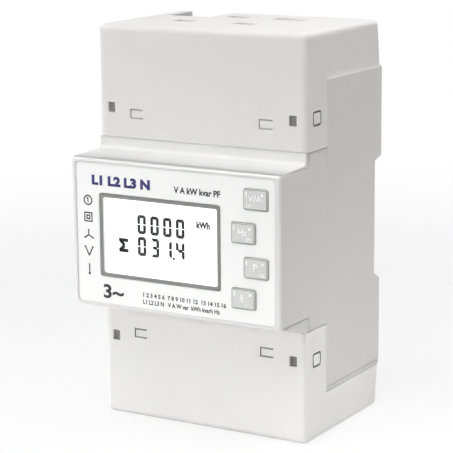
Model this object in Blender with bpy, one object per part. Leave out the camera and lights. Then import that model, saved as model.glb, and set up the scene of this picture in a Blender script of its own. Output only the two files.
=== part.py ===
"""DIN rail energy meter, four modules wide, with sealable terminal covers.

Run with: blender --background --python part.py
Axes: X to the right, Y from the front panel to the rail, Z up. The origin is the
middle of the flat rail seat on the back. Depths are measured from the panel's front.
"""
import math

import bmesh
import bpy
from mathutils import Vector

MM = 0.001

# Fits
FIT = 0.3 * MM                    # gap between pieces that touch or seat
SLIDE_FIT = 0.25 * MM             # gap round a piece that slides

# Main housing
WIDTH = 72.0 * MM                 # four 18 mm modules
PANEL_HEIGHT = 45.2 * MM          # raised front block, for a 45 mm cut-out
NECK_HEIGHT = 53.2 * MM           # shelf behind the raised block
BODY_HEIGHT = 93.0 * MM           # straight part of the sides
END_RISE = 1.3 * MM               # sloped ledge past the sides, at each end
END_INSET = 1.0 * MM              # how far that ledge slopes in
NECK_DEPTH = 16.5 * MM            # panel front to the neck's front
SHOULDER_DEPTH = 28.45 * MM       # panel front to the shoulders beside the covers
SEAT_DEPTH = 60.6 * MM            # panel front to the rail seat
HOUSING_WALL = 2.0 * MM
PANEL_INSET = 0.03 * MM           # panel and neck sides inside the housing side
NECK_INSET = 0.1 * MM
PANEL_EDGE_RADIUS = 0.7 * MM
RIM_SIDE = 1.45 * MM              # rim beside the label
RIM_END = 1.05 * MM               # rim above and below the label
LEDGE_WIDTH = 1.5 * MM            # ledge that the faceplate lands on
LEDGE_THICKNESS = 1.9 * MM

# Rail recess
RECESS_HEIGHT = 35.6 * MM         # for a 35 mm rail
SEAT_PAD_EDGE = 1.6 * MM          # recess's end to the raised pad that the rail lies on
SEAT_PAD_RISE = 0.4 * MM
UPPER_JAW = 4.4 * MM              # how far the upper jaw stands behind the seat
LOWER_JAW = 3.6 * MM
UPPER_LEAD = 1.2 * MM             # slope of the upper jaw's face
LOWER_LEAD = 2.2 * MM
RAIL_FLANGE = 1.0 * MM
RAIL_GRIP = 1.4 * MM              # how far lips and clip reach behind the rail
LIP_THICKNESS = 1.8 * MM
LIP_WIDTH = 20.0 * MM
LIP_SPACING = 30.0 * MM

# Rail clip
CLIP_WIDTH = 24.0 * MM
CLIP_BODY_WIDTH = 19.0 * MM
CLIP_THICKNESS = 2.2 * MM
CLIP_FLANGE = 1.0 * MM            # thickness of the guided edges
CLIP_TAIL = 1.3 * MM              # thickness of the pull tab
CLIP_TRAVEL = 5.0 * MM
CLIP_TAB = 7.6 * MM               # length of the pull tab past the body
CLIP_NOSE = 0.6 * MM              # flat on the hook's tip
CLIP_NOSE_DROP = 0.1 * MM
CLIP_SLOT_UP = 3.4 * MM           # tab's end to the slot's middle
CLIP_SLOT_WIDTH = 7.0 * MM
CLIP_SLOT_HEIGHT = 2.6 * MM
CLIP_ARM = 2.2 * MM
CLIP_ARM_GAP = 1.0 * MM
CLIP_ARM_LENGTH = 16.0 * MM
GUIDE_LIP_LENGTH = 14.0 * MM

# Terminal covers
TOTAL_HEIGHT = 122.5 * MM         # over both covers
COVER_FRONT = 15.7 * MM           # panel front to the cover's front
COVER_BEHIND_SEAT = 2.25 * MM     # rail seat to the cover's back, at its seam
COVER_REAR_DRAFT = 1.4 * MM
COVER_PROUD = 0.2 * MM            # cover side beyond the housing side, at the neck
COVER_SIDE_DRAFT = 0.1 * MM
COVER_WALL = 1.6 * MM
COVER_EDGE_RADIUS = 1.8 * MM

# Sealing windows, grooved tongues and grooved latch pads of a cover
SEAL_WINDOW_WIDTH = 2.5 * MM
SEAL_WINDOW_HEIGHT = 3.1 * MM
SEAL_WINDOW_SIDE = 4.4 * MM       # housing side to the window's middle
SEAL_WINDOW_Z = 35.9 * MM
TONGUE_WIDTH = 4.5 * MM
TONGUE_HEIGHT = 3.0 * MM
TONGUE_GROOVE = 0.45 * MM
TONGUE_SIDE = 13.4 * MM           # housing side to the tongue's middle
TONGUE_Z = 34.3 * MM
LATCH_PAD_LENGTH = 5.2 * MM
LATCH_PAD_HEIGHT = 4.5 * MM
LATCH_PAD_CORNER = 1.0 * MM
LATCH_PAD_DEPTH = 22.0 * MM       # panel front to the pad's middle
LATCH_PAD_Z = 36.2 * MM
LATCH_PAD_GROOVE = 0.6 * MM
GROOVE_DEPTH = 0.6 * MM
EAR_THICKNESS = 1.5 * MM
EAR_HEIGHT = 16.0 * MM
EAR_FRONT = 18.3 * MM

# Wire entries in a cover's end: place across, as a share of the width, and their own width
FRONT_ENTRIES = ((-0.221, 7.0 * MM), (0.079, 7.0 * MM))
REAR_ENTRIES = ((-0.097, 7.0 * MM), (0.153, 11.0 * MM))
ENTRY_LENGTH = 6.0 * MM
FRONT_ENTRY_SHARE = 0.388         # place along the cover's depth, from its front
REAR_ENTRY_SHARE = 0.759
NOTCH_SIDE = 5.4 * MM             # housing side to the notch
NOTCH_WIDTH_SHARE = 0.214         # notch's width as a share of the housing's
NOTCH_SHARE = 0.655               # place of the notch's front wall along the depth
NOTCH_DROP = 6.0 * MM             # how far the notch runs down the back wall

# Faceplate, label and display
FACEPLATE_RECESS = 0.75 * MM      # panel front to the faceplate
FACEPLATE_THICKNESS = 2.0 * MM
LABEL_RECESS = 0.12 * MM
LABEL_THICKNESS = 0.33 * MM
LABEL_CORNER = 1.2 * MM
DISPLAY_Z = -0.3 * MM
BEZEL_LEFT = 9.9 * MM            # housing side to the bezel
BEZEL_RIGHT = 19.9 * MM
BEZEL_HEIGHT = 25.1 * MM
BEZEL_BORDER = 1.0 * MM
BEZEL_CORNER = 0.6 * MM
BEZEL_WALL_SHARE = 0.4            # bezel's wall behind its front lip, as a share of the border
WINDOW_RECESS = 0.3 * MM          # thickness of the bezel's front lip
WINDOW_THICKNESS = 0.5 * MM
GLASS_THICKNESS = 2.0 * MM
BACKLIGHT_MARGIN = 1.2 * MM
BACKLIGHT_THICKNESS = 3.5 * MM
BOARD_THICKNESS = 1.6 * MM
BOARD_CLEARANCE = 1.0 * MM        # board edge to the housing's inner wall
BOSS_RADIUS = 1.8 * MM
BOSS_SIDE = 4.9 * MM              # housing side to the bosses
LEFT_BOSSES = (17.0 * MM, -17.0 * MM)

# Keys and their switches
KEY_WIDTH = 7.85 * MM
KEY_HEIGHT = 5.9 * MM
KEY_CORNER = 0.45 * MM
KEY_PROUD = 0.45 * MM
KEY_TRAVEL = 0.6 * MM
KEY_FLANGE = 0.8 * MM             # how far the flange stands out round the cap
KEY_FLANGE_THICKNESS = 0.7 * MM
KEY_EDGE_RADIUS = 0.2 * MM
KEY_SIDE = 7.9 * MM               # housing side to the outer keys' middle
KEY_STAGGER = 4.15 * MM
KEY_ROWS = (15.2 * MM, 5.1 * MM, -4.85 * MM, -14.3 * MM)
PLUNGER_RADIUS = 1.6 * MM
PLUNGER_LENGTH = 1.5 * MM
SWITCH_SIZE = 6.0 * MM

# Inner boards
MEASURING_BOARD_DEPTH = 22.0 * MM
POWER_BOARD_DEPTH = 46.0 * MM
HEADER_WIDTH = 20.0 * MM
HEADER_HEIGHT = 2.5 * MM
DISPLAY_HEADER_Z = -18.0 * MM
POWER_HEADER_Z = 18.5 * MM
POST_RADIUS = 2.5 * MM

# Terminals
BLOCK_FRONT = 20.6 * MM
BLOCK_NECK_GAP = 2.6 * MM         # neck's end to the block
SCREW_HEAD_RADIUS = 2.3 * MM
SCREW_HEAD_LENGTH = 2.0 * MM
SCREW_SHANK_RADIUS = 1.5 * MM
SCREW_SLOT = 0.7 * MM
SCREW_SLOT_DEPTH = 1.0 * MM
SCREW_SUNK = 3.7 * MM             # block front to the screw's head
SCREW_LENGTH = 11.2 * MM
CLAMP_WIDTH = 5.8 * MM
CLAMP_LENGTH = 9.2 * MM
CLAMP_HEIGHT = 7.0 * MM
CLAMP_WALL = 0.9 * MM
CLAMP_SUNK = 11.0 * MM            # block front to the clamp
WIRE_HOLE_WIDTH = 3.6 * MM
WIRE_HOLE_LENGTH = 5.0 * MM
BLOCK_SIDE = 7.2 * MM             # housing side to the block's end
TOP_POLES = 6
BOTTOM_POLES = 4

# Parts on the boards: middle Z and size in X, Z and depth
PART_CORNER = 0.5 * MM
CHIP_CORNER = 0.2 * MM
TRANSFORMER_SIDE = 22.0 * MM      # left side of the housing to its middle
TRANSFORMER = (0.0, 22.0 * MM, 18.0 * MM, 17.0 * MM)
TRANSFORMER_CORNER = 1.5 * MM
FILTER_CAPACITOR_SIDE = 9.0 * MM  # right side of the housing to its middle
FILTER_CAPACITOR = (-12.0 * MM, 8.0 * MM, 18.0 * MM, 14.0 * MM)
SUPPLY_CAPACITOR = (9.0 * MM, -4.0 * MM, 5.0 * MM, 16.0 * MM)      # X, Z, radius, length
VARISTOR_SIDES = (22.0 * MM, 16.0 * MM, 10.0 * MM)
VARISTOR_Z = 12.0 * MM
VARISTOR_RADIUS = 4.0 * MM
VARISTOR_THICKNESS = 3.2 * MM
METERING_CHIP_X = -10.0 * MM
METERING_CHIP = (6.0 * MM, 10.0 * MM, 7.0 * MM, 1.6 * MM)
PROCESSOR_CHIP_X = 12.0 * MM
PROCESSOR_CHIP = (4.0 * MM, 12.0 * MM, 12.0 * MM, 1.6 * MM)

# Derived planes, all in the part's own frame
FRONT = -SEAT_DEPTH
HALF_WIDTH = WIDTH / 2 - COVER_PROUD    # of the housing, as the covers take the whole width
HOUSING_WIDTH = 2 * HALF_WIDTH
HALF_PANEL = PANEL_HEIGHT / 2
HALF_NECK = NECK_HEIGHT / 2
HALF_BODY = BODY_HEIGHT / 2
BODY_END = HALF_BODY + END_RISE
COVER_SEAM = BODY_END + FIT
COVER_END = TOTAL_HEIGHT / 2
COVER_NECK_EDGE = HALF_NECK + FIT
CAVITY_HALF_WIDTH = HALF_WIDTH - HOUSING_WALL
CAVITY_END = BODY_END - HOUSING_WALL
FACEPLATE_BACK = FACEPLATE_RECESS + FACEPLATE_THICKNESS
OVERSHOOT = 2.0 * MM              # how far a cutter runs past what it cuts
COVER_REAR = SEAT_DEPTH + COVER_BEHIND_SEAT
SEAL_WINDOW_X = HALF_WIDTH - SEAL_WINDOW_SIDE
TONGUE_X = HALF_WIDTH - TONGUE_SIDE
NOTCH_WIDTH = NOTCH_WIDTH_SHARE * WIDTH
NOTCH_X = -HALF_WIDTH + NOTCH_SIDE + NOTCH_WIDTH / 2
BEZEL_WIDTH = HOUSING_WIDTH - BEZEL_LEFT - BEZEL_RIGHT
DISPLAY_X = (BEZEL_LEFT - BEZEL_RIGHT) / 2
KEY_COLUMNS = (HALF_WIDTH - KEY_SIDE, HALF_WIDTH - KEY_SIDE - KEY_STAGGER)
BOSS_X = HALF_WIDTH - BOSS_SIDE
BOSSES = tuple((-BOSS_X, z) for z in LEFT_BOSSES) + tuple((BOSS_X, z) for z in KEY_ROWS[1::2])
BLOCK_WIDTH = HOUSING_WIDTH - 2 * BLOCK_SIDE
TOP_PITCH = BLOCK_WIDTH / TOP_POLES
BOTTOM_PITCH = BLOCK_WIDTH / BOTTOM_POLES

MATERIALS = {
    "housing": ((0.80, 0.80, 0.79), 0.45, 0.0),
    "cover": ((0.82, 0.82, 0.81), 0.42, 0.0),
    "label": ((0.92, 0.92, 0.91), 0.35, 0.0),
    "faceplate": ((0.85, 0.85, 0.85), 0.4, 0.0),
    "bezel": ((0.25, 0.25, 0.25), 0.4, 0.0),
    "window": ((0.95, 0.95, 0.95), 0.05, 0.0),
    "lcd": ((0.92, 0.93, 0.90), 0.2, 0.0),
    "backlight": ((0.95, 0.95, 0.95), 0.5, 0.0),
    "key": ((0.66, 0.66, 0.65), 0.45, 0.0),
    "board": ((0.05, 0.25, 0.10), 0.4, 0.0),
    "black_plastic": ((0.03, 0.03, 0.03), 0.4, 0.0),
    "clip": ((0.62, 0.62, 0.61), 0.5, 0.0),
    "block": ((0.72, 0.72, 0.70), 0.5, 0.0),
    "steel": ((0.62, 0.62, 0.62), 0.3, 1.0),
    "winding": ((0.55, 0.45, 0.10), 0.5, 0.0),
    "capacitor": ((0.06, 0.08, 0.16), 0.35, 0.0),
    "film_capacitor": ((0.55, 0.42, 0.12), 0.4, 0.0),
    "varistor": ((0.10, 0.22, 0.42), 0.4, 0.0),
}


def clear_scene():
    """Remove every object, so that a second run starts from nothing."""
    for existing in list(bpy.data.objects):
        bpy.data.objects.remove(existing, do_unlink=True)


def material(name):
    """The named Principled material, made on first use."""
    found = bpy.data.materials.get(name)
    if found:
        return found
    colour, roughness, metallic = MATERIALS[name]
    made = bpy.data.materials.new(name)
    made.use_nodes = True
    shader = made.node_tree.nodes["Principled BSDF"]
    shader.inputs["Base Color"].default_value = (*colour, 1.0)
    shader.inputs["Roughness"].default_value = roughness
    shader.inputs["Metallic"].default_value = metallic
    return made


def depth(distance):
    """Y of a plane this far behind the panel's front."""
    return FRONT + distance


def add_object(name, bm, material_name, location=(0.0, 0.0, 0.0), smooth_angle=None):
    """Turn a bmesh into an object; its vertices are local to location."""
    bmesh.ops.recalc_face_normals(bm, faces=bm.faces)
    mesh = bpy.data.meshes.new(name)
    bm.to_mesh(mesh)
    bm.free()
    made = bpy.data.objects.new(name, mesh)
    made.location = location
    bpy.context.scene.collection.objects.link(made)
    if material_name:
        mesh.materials.append(material(material_name))
    if smooth_angle is not None:
        mesh.shade_smooth()
        mesh.set_sharp_from_angle(angle=math.radians(smooth_angle))
    return made


def box(low, high):
    """A box between two corners."""
    bm = bmesh.new()
    add_box(bm, low, high)
    return bm


def add_box(bm, low, high):
    """Add a box between two corners to a bmesh and give back its faces."""
    x0, y0, z0 = (min(a, b) for a, b in zip(low, high))
    x1, y1, z1 = (max(a, b) for a, b in zip(low, high))
    corners = [bm.verts.new(p) for p in (
        (x0, y0, z0), (x1, y0, z0), (x1, y1, z0), (x0, y1, z0),
        (x0, y0, z1), (x1, y0, z1), (x1, y1, z1), (x0, y1, z1))]
    sides = ((0, 3, 2, 1), (4, 5, 6, 7), (0, 1, 5, 4), (1, 2, 6, 5), (2, 3, 7, 6), (3, 0, 4, 7))
    return [bm.faces.new([corners[i] for i in side]) for side in sides]


def on_axis(a, b, along, axis):
    """A point from two coordinates of an outline and the place along the axis."""
    return {"X": (along, a, b), "Y": (a, along, b), "Z": (a, b, along)}[axis]


def add_prism(bm, outline, low, high, axis):
    """Extrude a closed outline between two planes.

    axis "X" takes (y, z) points, "Y" takes (x, z) points and "Z" takes (x, y) points.
    """
    start = [bm.verts.new(on_axis(a, b, low, axis)) for a, b in outline]
    bottom = bm.faces.new(start)
    grown = bmesh.ops.extrude_face_region(bm, geom=[bottom])
    moved = [v for v in grown["geom"] if isinstance(v, bmesh.types.BMVert)]
    shift = Vector(on_axis(0.0, 0.0, high - low, axis))
    bmesh.ops.translate(bm, verts=moved, vec=shift)
    return bm


def add_ring(bm, outer, inner, low, high, axis):
    """Extrude the band between two outlines with as many points each."""
    loops = []
    for outline, along in ((outer, low), (inner, low), (inner, high), (outer, high)):
        loops.append([bm.verts.new(on_axis(a, b, along, axis)) for a, b in outline])
    for i in range(len(outer)):
        j = (i + 1) % len(outer)
        for first, second in zip(loops, loops[1:] + loops[:1]):
            bm.faces.new((first[i], first[j], second[j], second[i]))


def prism(outline, low, high, axis):
    """A new bmesh with one extruded outline."""
    bm = bmesh.new()
    add_prism(bm, outline, low, high, axis)
    bmesh.ops.recalc_face_normals(bm, faces=bm.faces)
    return bm


def rounded_rectangle(width, height, radius, steps=4, centre=(0.0, 0.0)):
    """Points of a rectangle with round corners, anticlockwise."""
    points = []
    for quarter, (sx, sz) in enumerate(((1, 1), (-1, 1), (-1, -1), (1, -1))):
        cx = centre[0] + sx * (width / 2 - radius)
        cz = centre[1] + sz * (height / 2 - radius)
        for step in range(steps + 1):
            angle = math.pi / 2 * (quarter + step / steps)
            points.append((cx + radius * math.cos(angle), cz + radius * math.sin(angle)))
    return points


def circle(radius, sides, centre=(0.0, 0.0)):
    """Points of a circle."""
    turn = 2 * math.pi / sides
    return [(centre[0] + radius * math.cos(turn * i), centre[1] + radius * math.sin(turn * i))
            for i in range(sides)]


def round_edges(bm, chosen, radius, segments):
    """Round the edges that chosen(middle, direction) picks."""
    bm.edges.ensure_lookup_table()
    picked = []
    for edge in bm.edges:
        a, b = (v.co for v in edge.verts)
        if chosen((a + b) / 2, (b - a).normalized()):
            picked.append(edge)
    bmesh.ops.bevel(bm, geom=picked, offset=radius, offset_type="OFFSET", segments=segments,
                    profile=0.5, affect="EDGES", clamp_overlap=True)


def near(a, b):
    """True where two lengths are the same to a micrometre."""
    return abs(a - b) < 1e-6


def hide_helper(helper):
    """Mark a cutter or joined piece as a helper, not a part of the model."""
    helper.hide_render = True
    helper.display_type = "WIRE"


def boolean(target, bm, operation, name):
    """Cut from, or join to, the target with the shape in bm."""
    helper = add_object(name, bm, None)
    helper.parent = target.parent
    helper.location = target.location
    hide_helper(helper)
    modifier = target.modifiers.new(name, "BOOLEAN")
    modifier.operation = operation
    modifier.solver = "EXACT"
    modifier.object = helper


def cut(target, bm, name):
    """Subtract the shape in bm, given in the target's own coordinates."""
    boolean(target, bm, "DIFFERENCE", name)


def join(target, bm, name):
    """Add the shape in bm, given in the target's own coordinates."""
    boolean(target, bm, "UNION", name)


def cover_half_width(z):
    """Half the cover's outer width at height z, with its side draft."""
    run = (abs(z) - COVER_NECK_EDGE) / (COVER_END - COVER_NECK_EDGE)
    return WIDTH / 2 - COVER_SIDE_DRAFT * run


def cover_back(z):
    """Y of the cover's back at height z, with its draft."""
    run = (abs(z) - COVER_SEAM) / (COVER_END - COVER_SEAM)
    return depth(COVER_REAR - COVER_REAR_DRAFT * run)


def cover_depth(share):
    """Y at this share of the cover's depth, from its front."""
    return depth(COVER_FRONT + share * (COVER_REAR - COVER_FRONT))


def ear_half_width():
    """Outer face of the ears inside the covers, clear of the cover's inner side."""
    return cover_half_width(COVER_END) - COVER_WALL - FIT


def block_span():
    """Heights of a block's inner and outer end, on the upper side."""
    return HALF_NECK + BLOCK_NECK_GAP, CAVITY_END - FIT


def clamp_height():
    """Height of the clamps' middle, on the upper side."""
    inner, outer = block_span()
    return (inner + outer) / 2


def build_main_housing():
    """Sides, raised front, neck, shoulders and end walls in one moulding."""
    seat = depth(SEAT_DEPTH)
    half_recess = RECESS_HEIGHT / 2
    outline = [
        (depth(SHOULDER_DEPTH), HALF_BODY), (seat + UPPER_JAW, HALF_BODY),
        (seat + UPPER_JAW, half_recess + UPPER_LEAD), (seat, half_recess),
        (seat, -half_recess), (seat + LOWER_JAW, -half_recess - LOWER_LEAD),
        (seat + LOWER_JAW, -HALF_BODY), (depth(SHOULDER_DEPTH), -HALF_BODY),
    ]
    bm = prism(outline, -HALF_WIDTH, HALF_WIDTH, "X")
    for side in (1, -1):
        ends = [f for f in bm.faces if near(f.calc_center_median().z, side * HALF_BODY)]
        grown = bmesh.ops.extrude_face_region(bm, geom=ends)
        moved = [v for v in grown["geom"] if isinstance(v, bmesh.types.BMVert)]
        for vert in moved:
            vert.co.z += side * END_RISE
            vert.co.x *= (HALF_WIDTH - END_INSET) / HALF_WIDTH
        bmesh.ops.delete(bm, geom=ends, context="FACES_ONLY")

    housing = add_object("main_housing", bm, "housing", smooth_angle=30)
    join(housing, raised_panel(), "raised_panel")
    join(housing, neck(), "neck")

    inner = HOUSING_WALL
    ledge_back = FACEPLATE_BACK + FIT + LEDGE_THICKNESS
    cavity = [
        (depth(ledge_back), HALF_PANEL - inner), (depth(NECK_DEPTH + inner), HALF_PANEL - inner),
        (depth(NECK_DEPTH + inner), HALF_NECK - inner), (depth(SHOULDER_DEPTH + inner), HALF_NECK - inner),
        (depth(SHOULDER_DEPTH + inner), CAVITY_END), (seat + UPPER_JAW + OVERSHOOT, CAVITY_END),
    ]
    cavity += [(y, -z) for y, z in reversed(cavity)]
    cut(housing, prism(cavity, -CAVITY_HALF_WIDTH, CAVITY_HALF_WIDTH, "X"), "housing_cavity")

    opening = rounded_rectangle(HOUSING_WIDTH - 2 * RIM_SIDE, PANEL_HEIGHT - 2 * RIM_END, LABEL_CORNER + FIT)
    front_cut = prism(opening, depth(-OVERSHOOT), depth(FACEPLATE_BACK + FIT), "Y")
    cut(housing, front_cut, "faceplate_opening")
    ledge_x = HALF_WIDTH - RIM_SIDE - LEDGE_WIDTH
    ledge_z = HALF_PANEL - RIM_END - LEDGE_WIDTH
    ledge_cut = box((-ledge_x, depth(FACEPLATE_RECESS), -ledge_z),
                    (ledge_x, depth(ledge_back + OVERSHOOT), ledge_z))
    cut(housing, ledge_cut, "ledge_opening")

    inner_z, outer_z = block_span()
    terminal_cut = bmesh.new()
    wire_cut = bmesh.new()
    for side, poles, pitch in ((1, TOP_POLES, TOP_PITCH), (-1, BOTTOM_POLES, BOTTOM_PITCH)):
        reach = BLOCK_WIDTH / 2 + FIT
        add_box(terminal_cut, (-reach, depth(SHOULDER_DEPTH - OVERSHOOT), side * (inner_z - FIT)),
                (reach, depth(SHOULDER_DEPTH + HOUSING_WALL + OVERSHOOT), side * (outer_z + FIT)))
        for x in pole_positions(poles, pitch):
            y = depth(BLOCK_FRONT + CLAMP_SUNK + CLAMP_LENGTH / 2)
            half_x, half_y = WIRE_HOLE_WIDTH / 2, WIRE_HOLE_LENGTH / 2
            add_box(wire_cut, (x - half_x, y - half_y, side * (CAVITY_END - OVERSHOOT)),
                    (x + half_x, y + half_y, side * (BODY_END + OVERSHOOT)))
    cut(housing, terminal_cut, "terminal_openings")
    cut(housing, wire_cut, "wire_openings")

    channel = CLIP_WIDTH / 2 + SLIDE_FIT
    clip_cut = box((-channel, seat + RAIL_FLANGE, -CAVITY_END + OVERSHOOT),
                   (channel, seat + UPPER_JAW + OVERSHOOT, -BODY_END - OVERSHOOT))
    cut(housing, clip_cut, "clip_passage")
    join(housing, ears(), "cover_ears")
    join(housing, latch_noses(), "latch_noses")
    return housing


def raised_panel():
    """The panel's block, with its front edges and corners rounded, reaching into the shoulders."""
    front, back = depth(0.0), depth(SHOULDER_DEPTH + HOUSING_WALL)
    half = HALF_WIDTH - PANEL_INSET
    bm = box((-half, front, -HALF_PANEL), (half, back, HALF_PANEL))

    def visible(middle, direction):
        on_corner = near(abs(middle.x), half) and near(abs(middle.z), HALF_PANEL)
        return near(middle.y, front) or on_corner

    round_edges(bm, visible, PANEL_EDGE_RADIUS, 4)
    return bm


def neck():
    """The neck behind the panel, between the covers, with its upright front edges rounded."""
    front, back = depth(NECK_DEPTH), depth(SHOULDER_DEPTH + HOUSING_WALL / 2)
    half = HALF_WIDTH - NECK_INSET
    bm = box((-half, front, -HALF_NECK), (half, back, HALF_NECK))

    def upright(middle, direction):
        return near(middle.y, front) and abs(direction.z) > 0.9

    round_edges(bm, upright, COVER_EDGE_RADIUS, 4)
    return bm


def ears():
    """Four ears under the covers, just inside the covers' side walls."""
    bm = bmesh.new()
    outer = ear_half_width()
    for sx in (1, -1):
        for sz in (1, -1):
            low_z = HALF_NECK - HOUSING_WALL / 2
            outline = [
                (depth(EAR_FRONT), low_z), (depth(EAR_FRONT), HALF_NECK + EAR_HEIGHT - EAR_THICKNESS),
                (depth(EAR_FRONT) + EAR_THICKNESS, HALF_NECK + EAR_HEIGHT),
                (depth(SHOULDER_DEPTH + HOUSING_WALL / 2), HALF_NECK + EAR_HEIGHT),
                (depth(SHOULDER_DEPTH + HOUSING_WALL / 2), low_z),
            ]
            add_prism(bm, [(y, sz * z) for y, z in outline], sx * (outer - EAR_THICKNESS), sx * outer, "X")
    return bm


def latch_noses():
    """The noses on the outer faces of the ears."""
    bm = bmesh.new()
    middle_y = depth(LATCH_PAD_DEPTH)
    length = LATCH_PAD_LENGTH - 2 * LATCH_PAD_GROOVE
    height = LATCH_PAD_HEIGHT - 2 * LATCH_PAD_GROOVE
    root = ear_half_width() - EAR_THICKNESS / 2
    proud = cover_half_width(LATCH_PAD_Z) - COVER_WALL - FIT
    for sx in (1, -1):
        for sz in (1, -1):
            low = (sx * root, middle_y - length / 2, sz * LATCH_PAD_Z - height / 2)
            high = (sx * proud, middle_y + length / 2, sz * LATCH_PAD_Z + height / 2)
            add_box(bm, low, high)
    return bm


def build_rear_base():
    """Back wall with the rail seat, both jaws, lips, clip channel and board posts."""
    seat = depth(SEAT_DEPTH)
    wall = HOUSING_WALL
    half_recess = RECESS_HEIGHT / 2
    half = CAVITY_HALF_WIDTH - FIT
    end = CAVITY_END - FIT
    pad = half_recess - SEAT_PAD_EDGE
    low = seat - SEAT_PAD_RISE
    outline = [
        (seat + UPPER_JAW, end), (seat + UPPER_JAW, half_recess + UPPER_LEAD), (low, half_recess),
        (low, pad), (seat, pad), (seat, -pad), (low, -pad),
        (low, -half_recess), (seat + LOWER_JAW, -half_recess - LOWER_LEAD), (seat + LOWER_JAW, -end),
        (seat + LOWER_JAW - wall, -end), (seat + LOWER_JAW - wall, -half_recess - LOWER_LEAD - wall / 2),
        (seat - wall, -half_recess - wall / 2), (seat - wall, half_recess + wall),
        (seat + UPPER_JAW - wall, half_recess + UPPER_LEAD + wall), (seat + UPPER_JAW - wall, end),
    ]
    base = add_object("rear_base", prism(outline, -half, half, "X"), "housing")

    channel = CLIP_WIDTH / 2 + SLIDE_FIT
    floor = seat + RAIL_FLANGE
    trough = [
        (-channel - wall, seat + LOWER_JAW - wall / 2), (-channel - wall, floor - wall),
        (channel + wall, floor - wall), (channel + wall, seat + LOWER_JAW - wall / 2),
    ]
    join(base, prism(trough, -half_recess - wall, -end, "Z"), "clip_trough")
    opening = [
        (-channel, seat + UPPER_JAW + OVERSHOOT), (-channel, floor), (channel, floor),
        (channel, seat + UPPER_JAW + OVERSHOOT),
    ]
    cut(base, prism(opening, -half_recess + FIT, -end - OVERSHOOT, "Z"), "clip_channel")

    lips = bmesh.new()
    for side in (1, -1):
        middle = side * LIP_SPACING / 2
        outline = [
            (floor, half_recess + UPPER_LEAD + wall), (floor, half_recess - RAIL_GRIP + FIT),
            (floor + LIP_THICKNESS, half_recess - RAIL_GRIP + FIT + LIP_THICKNESS / 3),
            (floor + LIP_THICKNESS, half_recess + UPPER_LEAD + wall),
        ]
        outline = [(y + FIT, z) for y, z in outline]
        add_prism(lips, outline, middle - LIP_WIDTH / 2, middle + LIP_WIDTH / 2, "X")
    join(base, lips, "rail_lips")

    guides = bmesh.new()
    guide_y = floor + FIT + CLIP_FLANGE + SLIDE_FIT
    for side in (1, -1):
        low = (side * (CLIP_BODY_WIDTH / 2 + SLIDE_FIT), guide_y, -end + wall)
        high = (side * (channel + wall / 2), seat + LOWER_JAW, -end + wall + GUIDE_LIP_LENGTH)
        add_box(guides, low, high)
    join(base, guides, "clip_guides")

    posts = bmesh.new()
    post_x = HALF_WIDTH - HOUSING_WALL - BOARD_CLEARANCE - 2 * POST_RADIUS
    post_z = CAVITY_END - BOARD_CLEARANCE - 2 * POST_RADIUS
    front = depth(POWER_BOARD_DEPTH + BOARD_THICKNESS) + FIT
    for sx in (1, -1):
        for z, back in ((post_z, seat + UPPER_JAW - wall / 2), (-post_z, seat + LOWER_JAW - wall / 2)):
            add_prism(posts, circle(POST_RADIUS, 12, (sx * post_x, z)), front, back, "Y")
    join(base, posts, "board_posts")
    return base


def build_din_clip():
    """Sliding rail clip with a hook, guided edges, two side arms and a pull tab."""
    seat = depth(SEAT_DEPTH)
    front = seat + RAIL_FLANGE + FIT
    tip = -RECESS_HEIGHT / 2 + RAIL_GRIP - FIT
    body_end = -BODY_END + CLIP_TRAVEL + FIT
    tail_front = cover_back(COVER_SEAM) + FIT
    tail_back = tail_front + CLIP_TAIL
    tab_end = -BODY_END - CLIP_TAB
    origin = Vector((0.0, front, tip))

    def local(outline):
        return [(y - origin.y, z - origin.z) for y, z in outline]

    profile = [
        (front, tip - CLIP_NOSE_DROP), (front + CLIP_NOSE, tip),
        (front + CLIP_THICKNESS, tip - CLIP_THICKNESS), (front + CLIP_THICKNESS, body_end + CLIP_TAIL),
        (tail_back, body_end), (tail_back, tab_end),
        (tail_front, tab_end), (tail_front, body_end), (front, body_end + CLIP_TAIL),
    ]
    bm = prism(local(profile), -CLIP_BODY_WIDTH / 2, CLIP_BODY_WIDTH / 2, "X")
    clip = add_object("din_clip", bm, "clip", location=origin)

    flange_top = tip - CLIP_THICKNESS - CLIP_FLANGE
    flange_end = body_end + CLIP_TAIL + CLIP_FLANGE
    flanges = box((-CLIP_WIDTH / 2, 0.0, flange_end - origin.z),
                  (CLIP_WIDTH / 2, CLIP_FLANGE, flange_top - origin.z))
    join(clip, flanges, "clip_flanges")

    arm_cut = bmesh.new()
    arm_top = (flange_top + flange_end) / 2 + CLIP_ARM_LENGTH / 2 - origin.z
    for side in (1, -1):
        inner = side * (CLIP_WIDTH / 2 - CLIP_ARM)
        low = (inner, -OVERSHOOT, arm_top - CLIP_ARM_LENGTH)
        add_box(arm_cut, low, (inner - side * CLIP_ARM_GAP, CLIP_THICKNESS + OVERSHOOT, arm_top))
    tab_middle = tab_end + CLIP_SLOT_UP - origin.z
    add_box(arm_cut, (-CLIP_SLOT_WIDTH / 2, -OVERSHOOT, tab_middle - CLIP_SLOT_HEIGHT / 2),
            (CLIP_SLOT_WIDTH / 2, CLIP_THICKNESS + 2 * OVERSHOOT, tab_middle + CLIP_SLOT_HEIGHT / 2))
    cut(clip, arm_cut, "clip_slots")
    return clip


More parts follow.
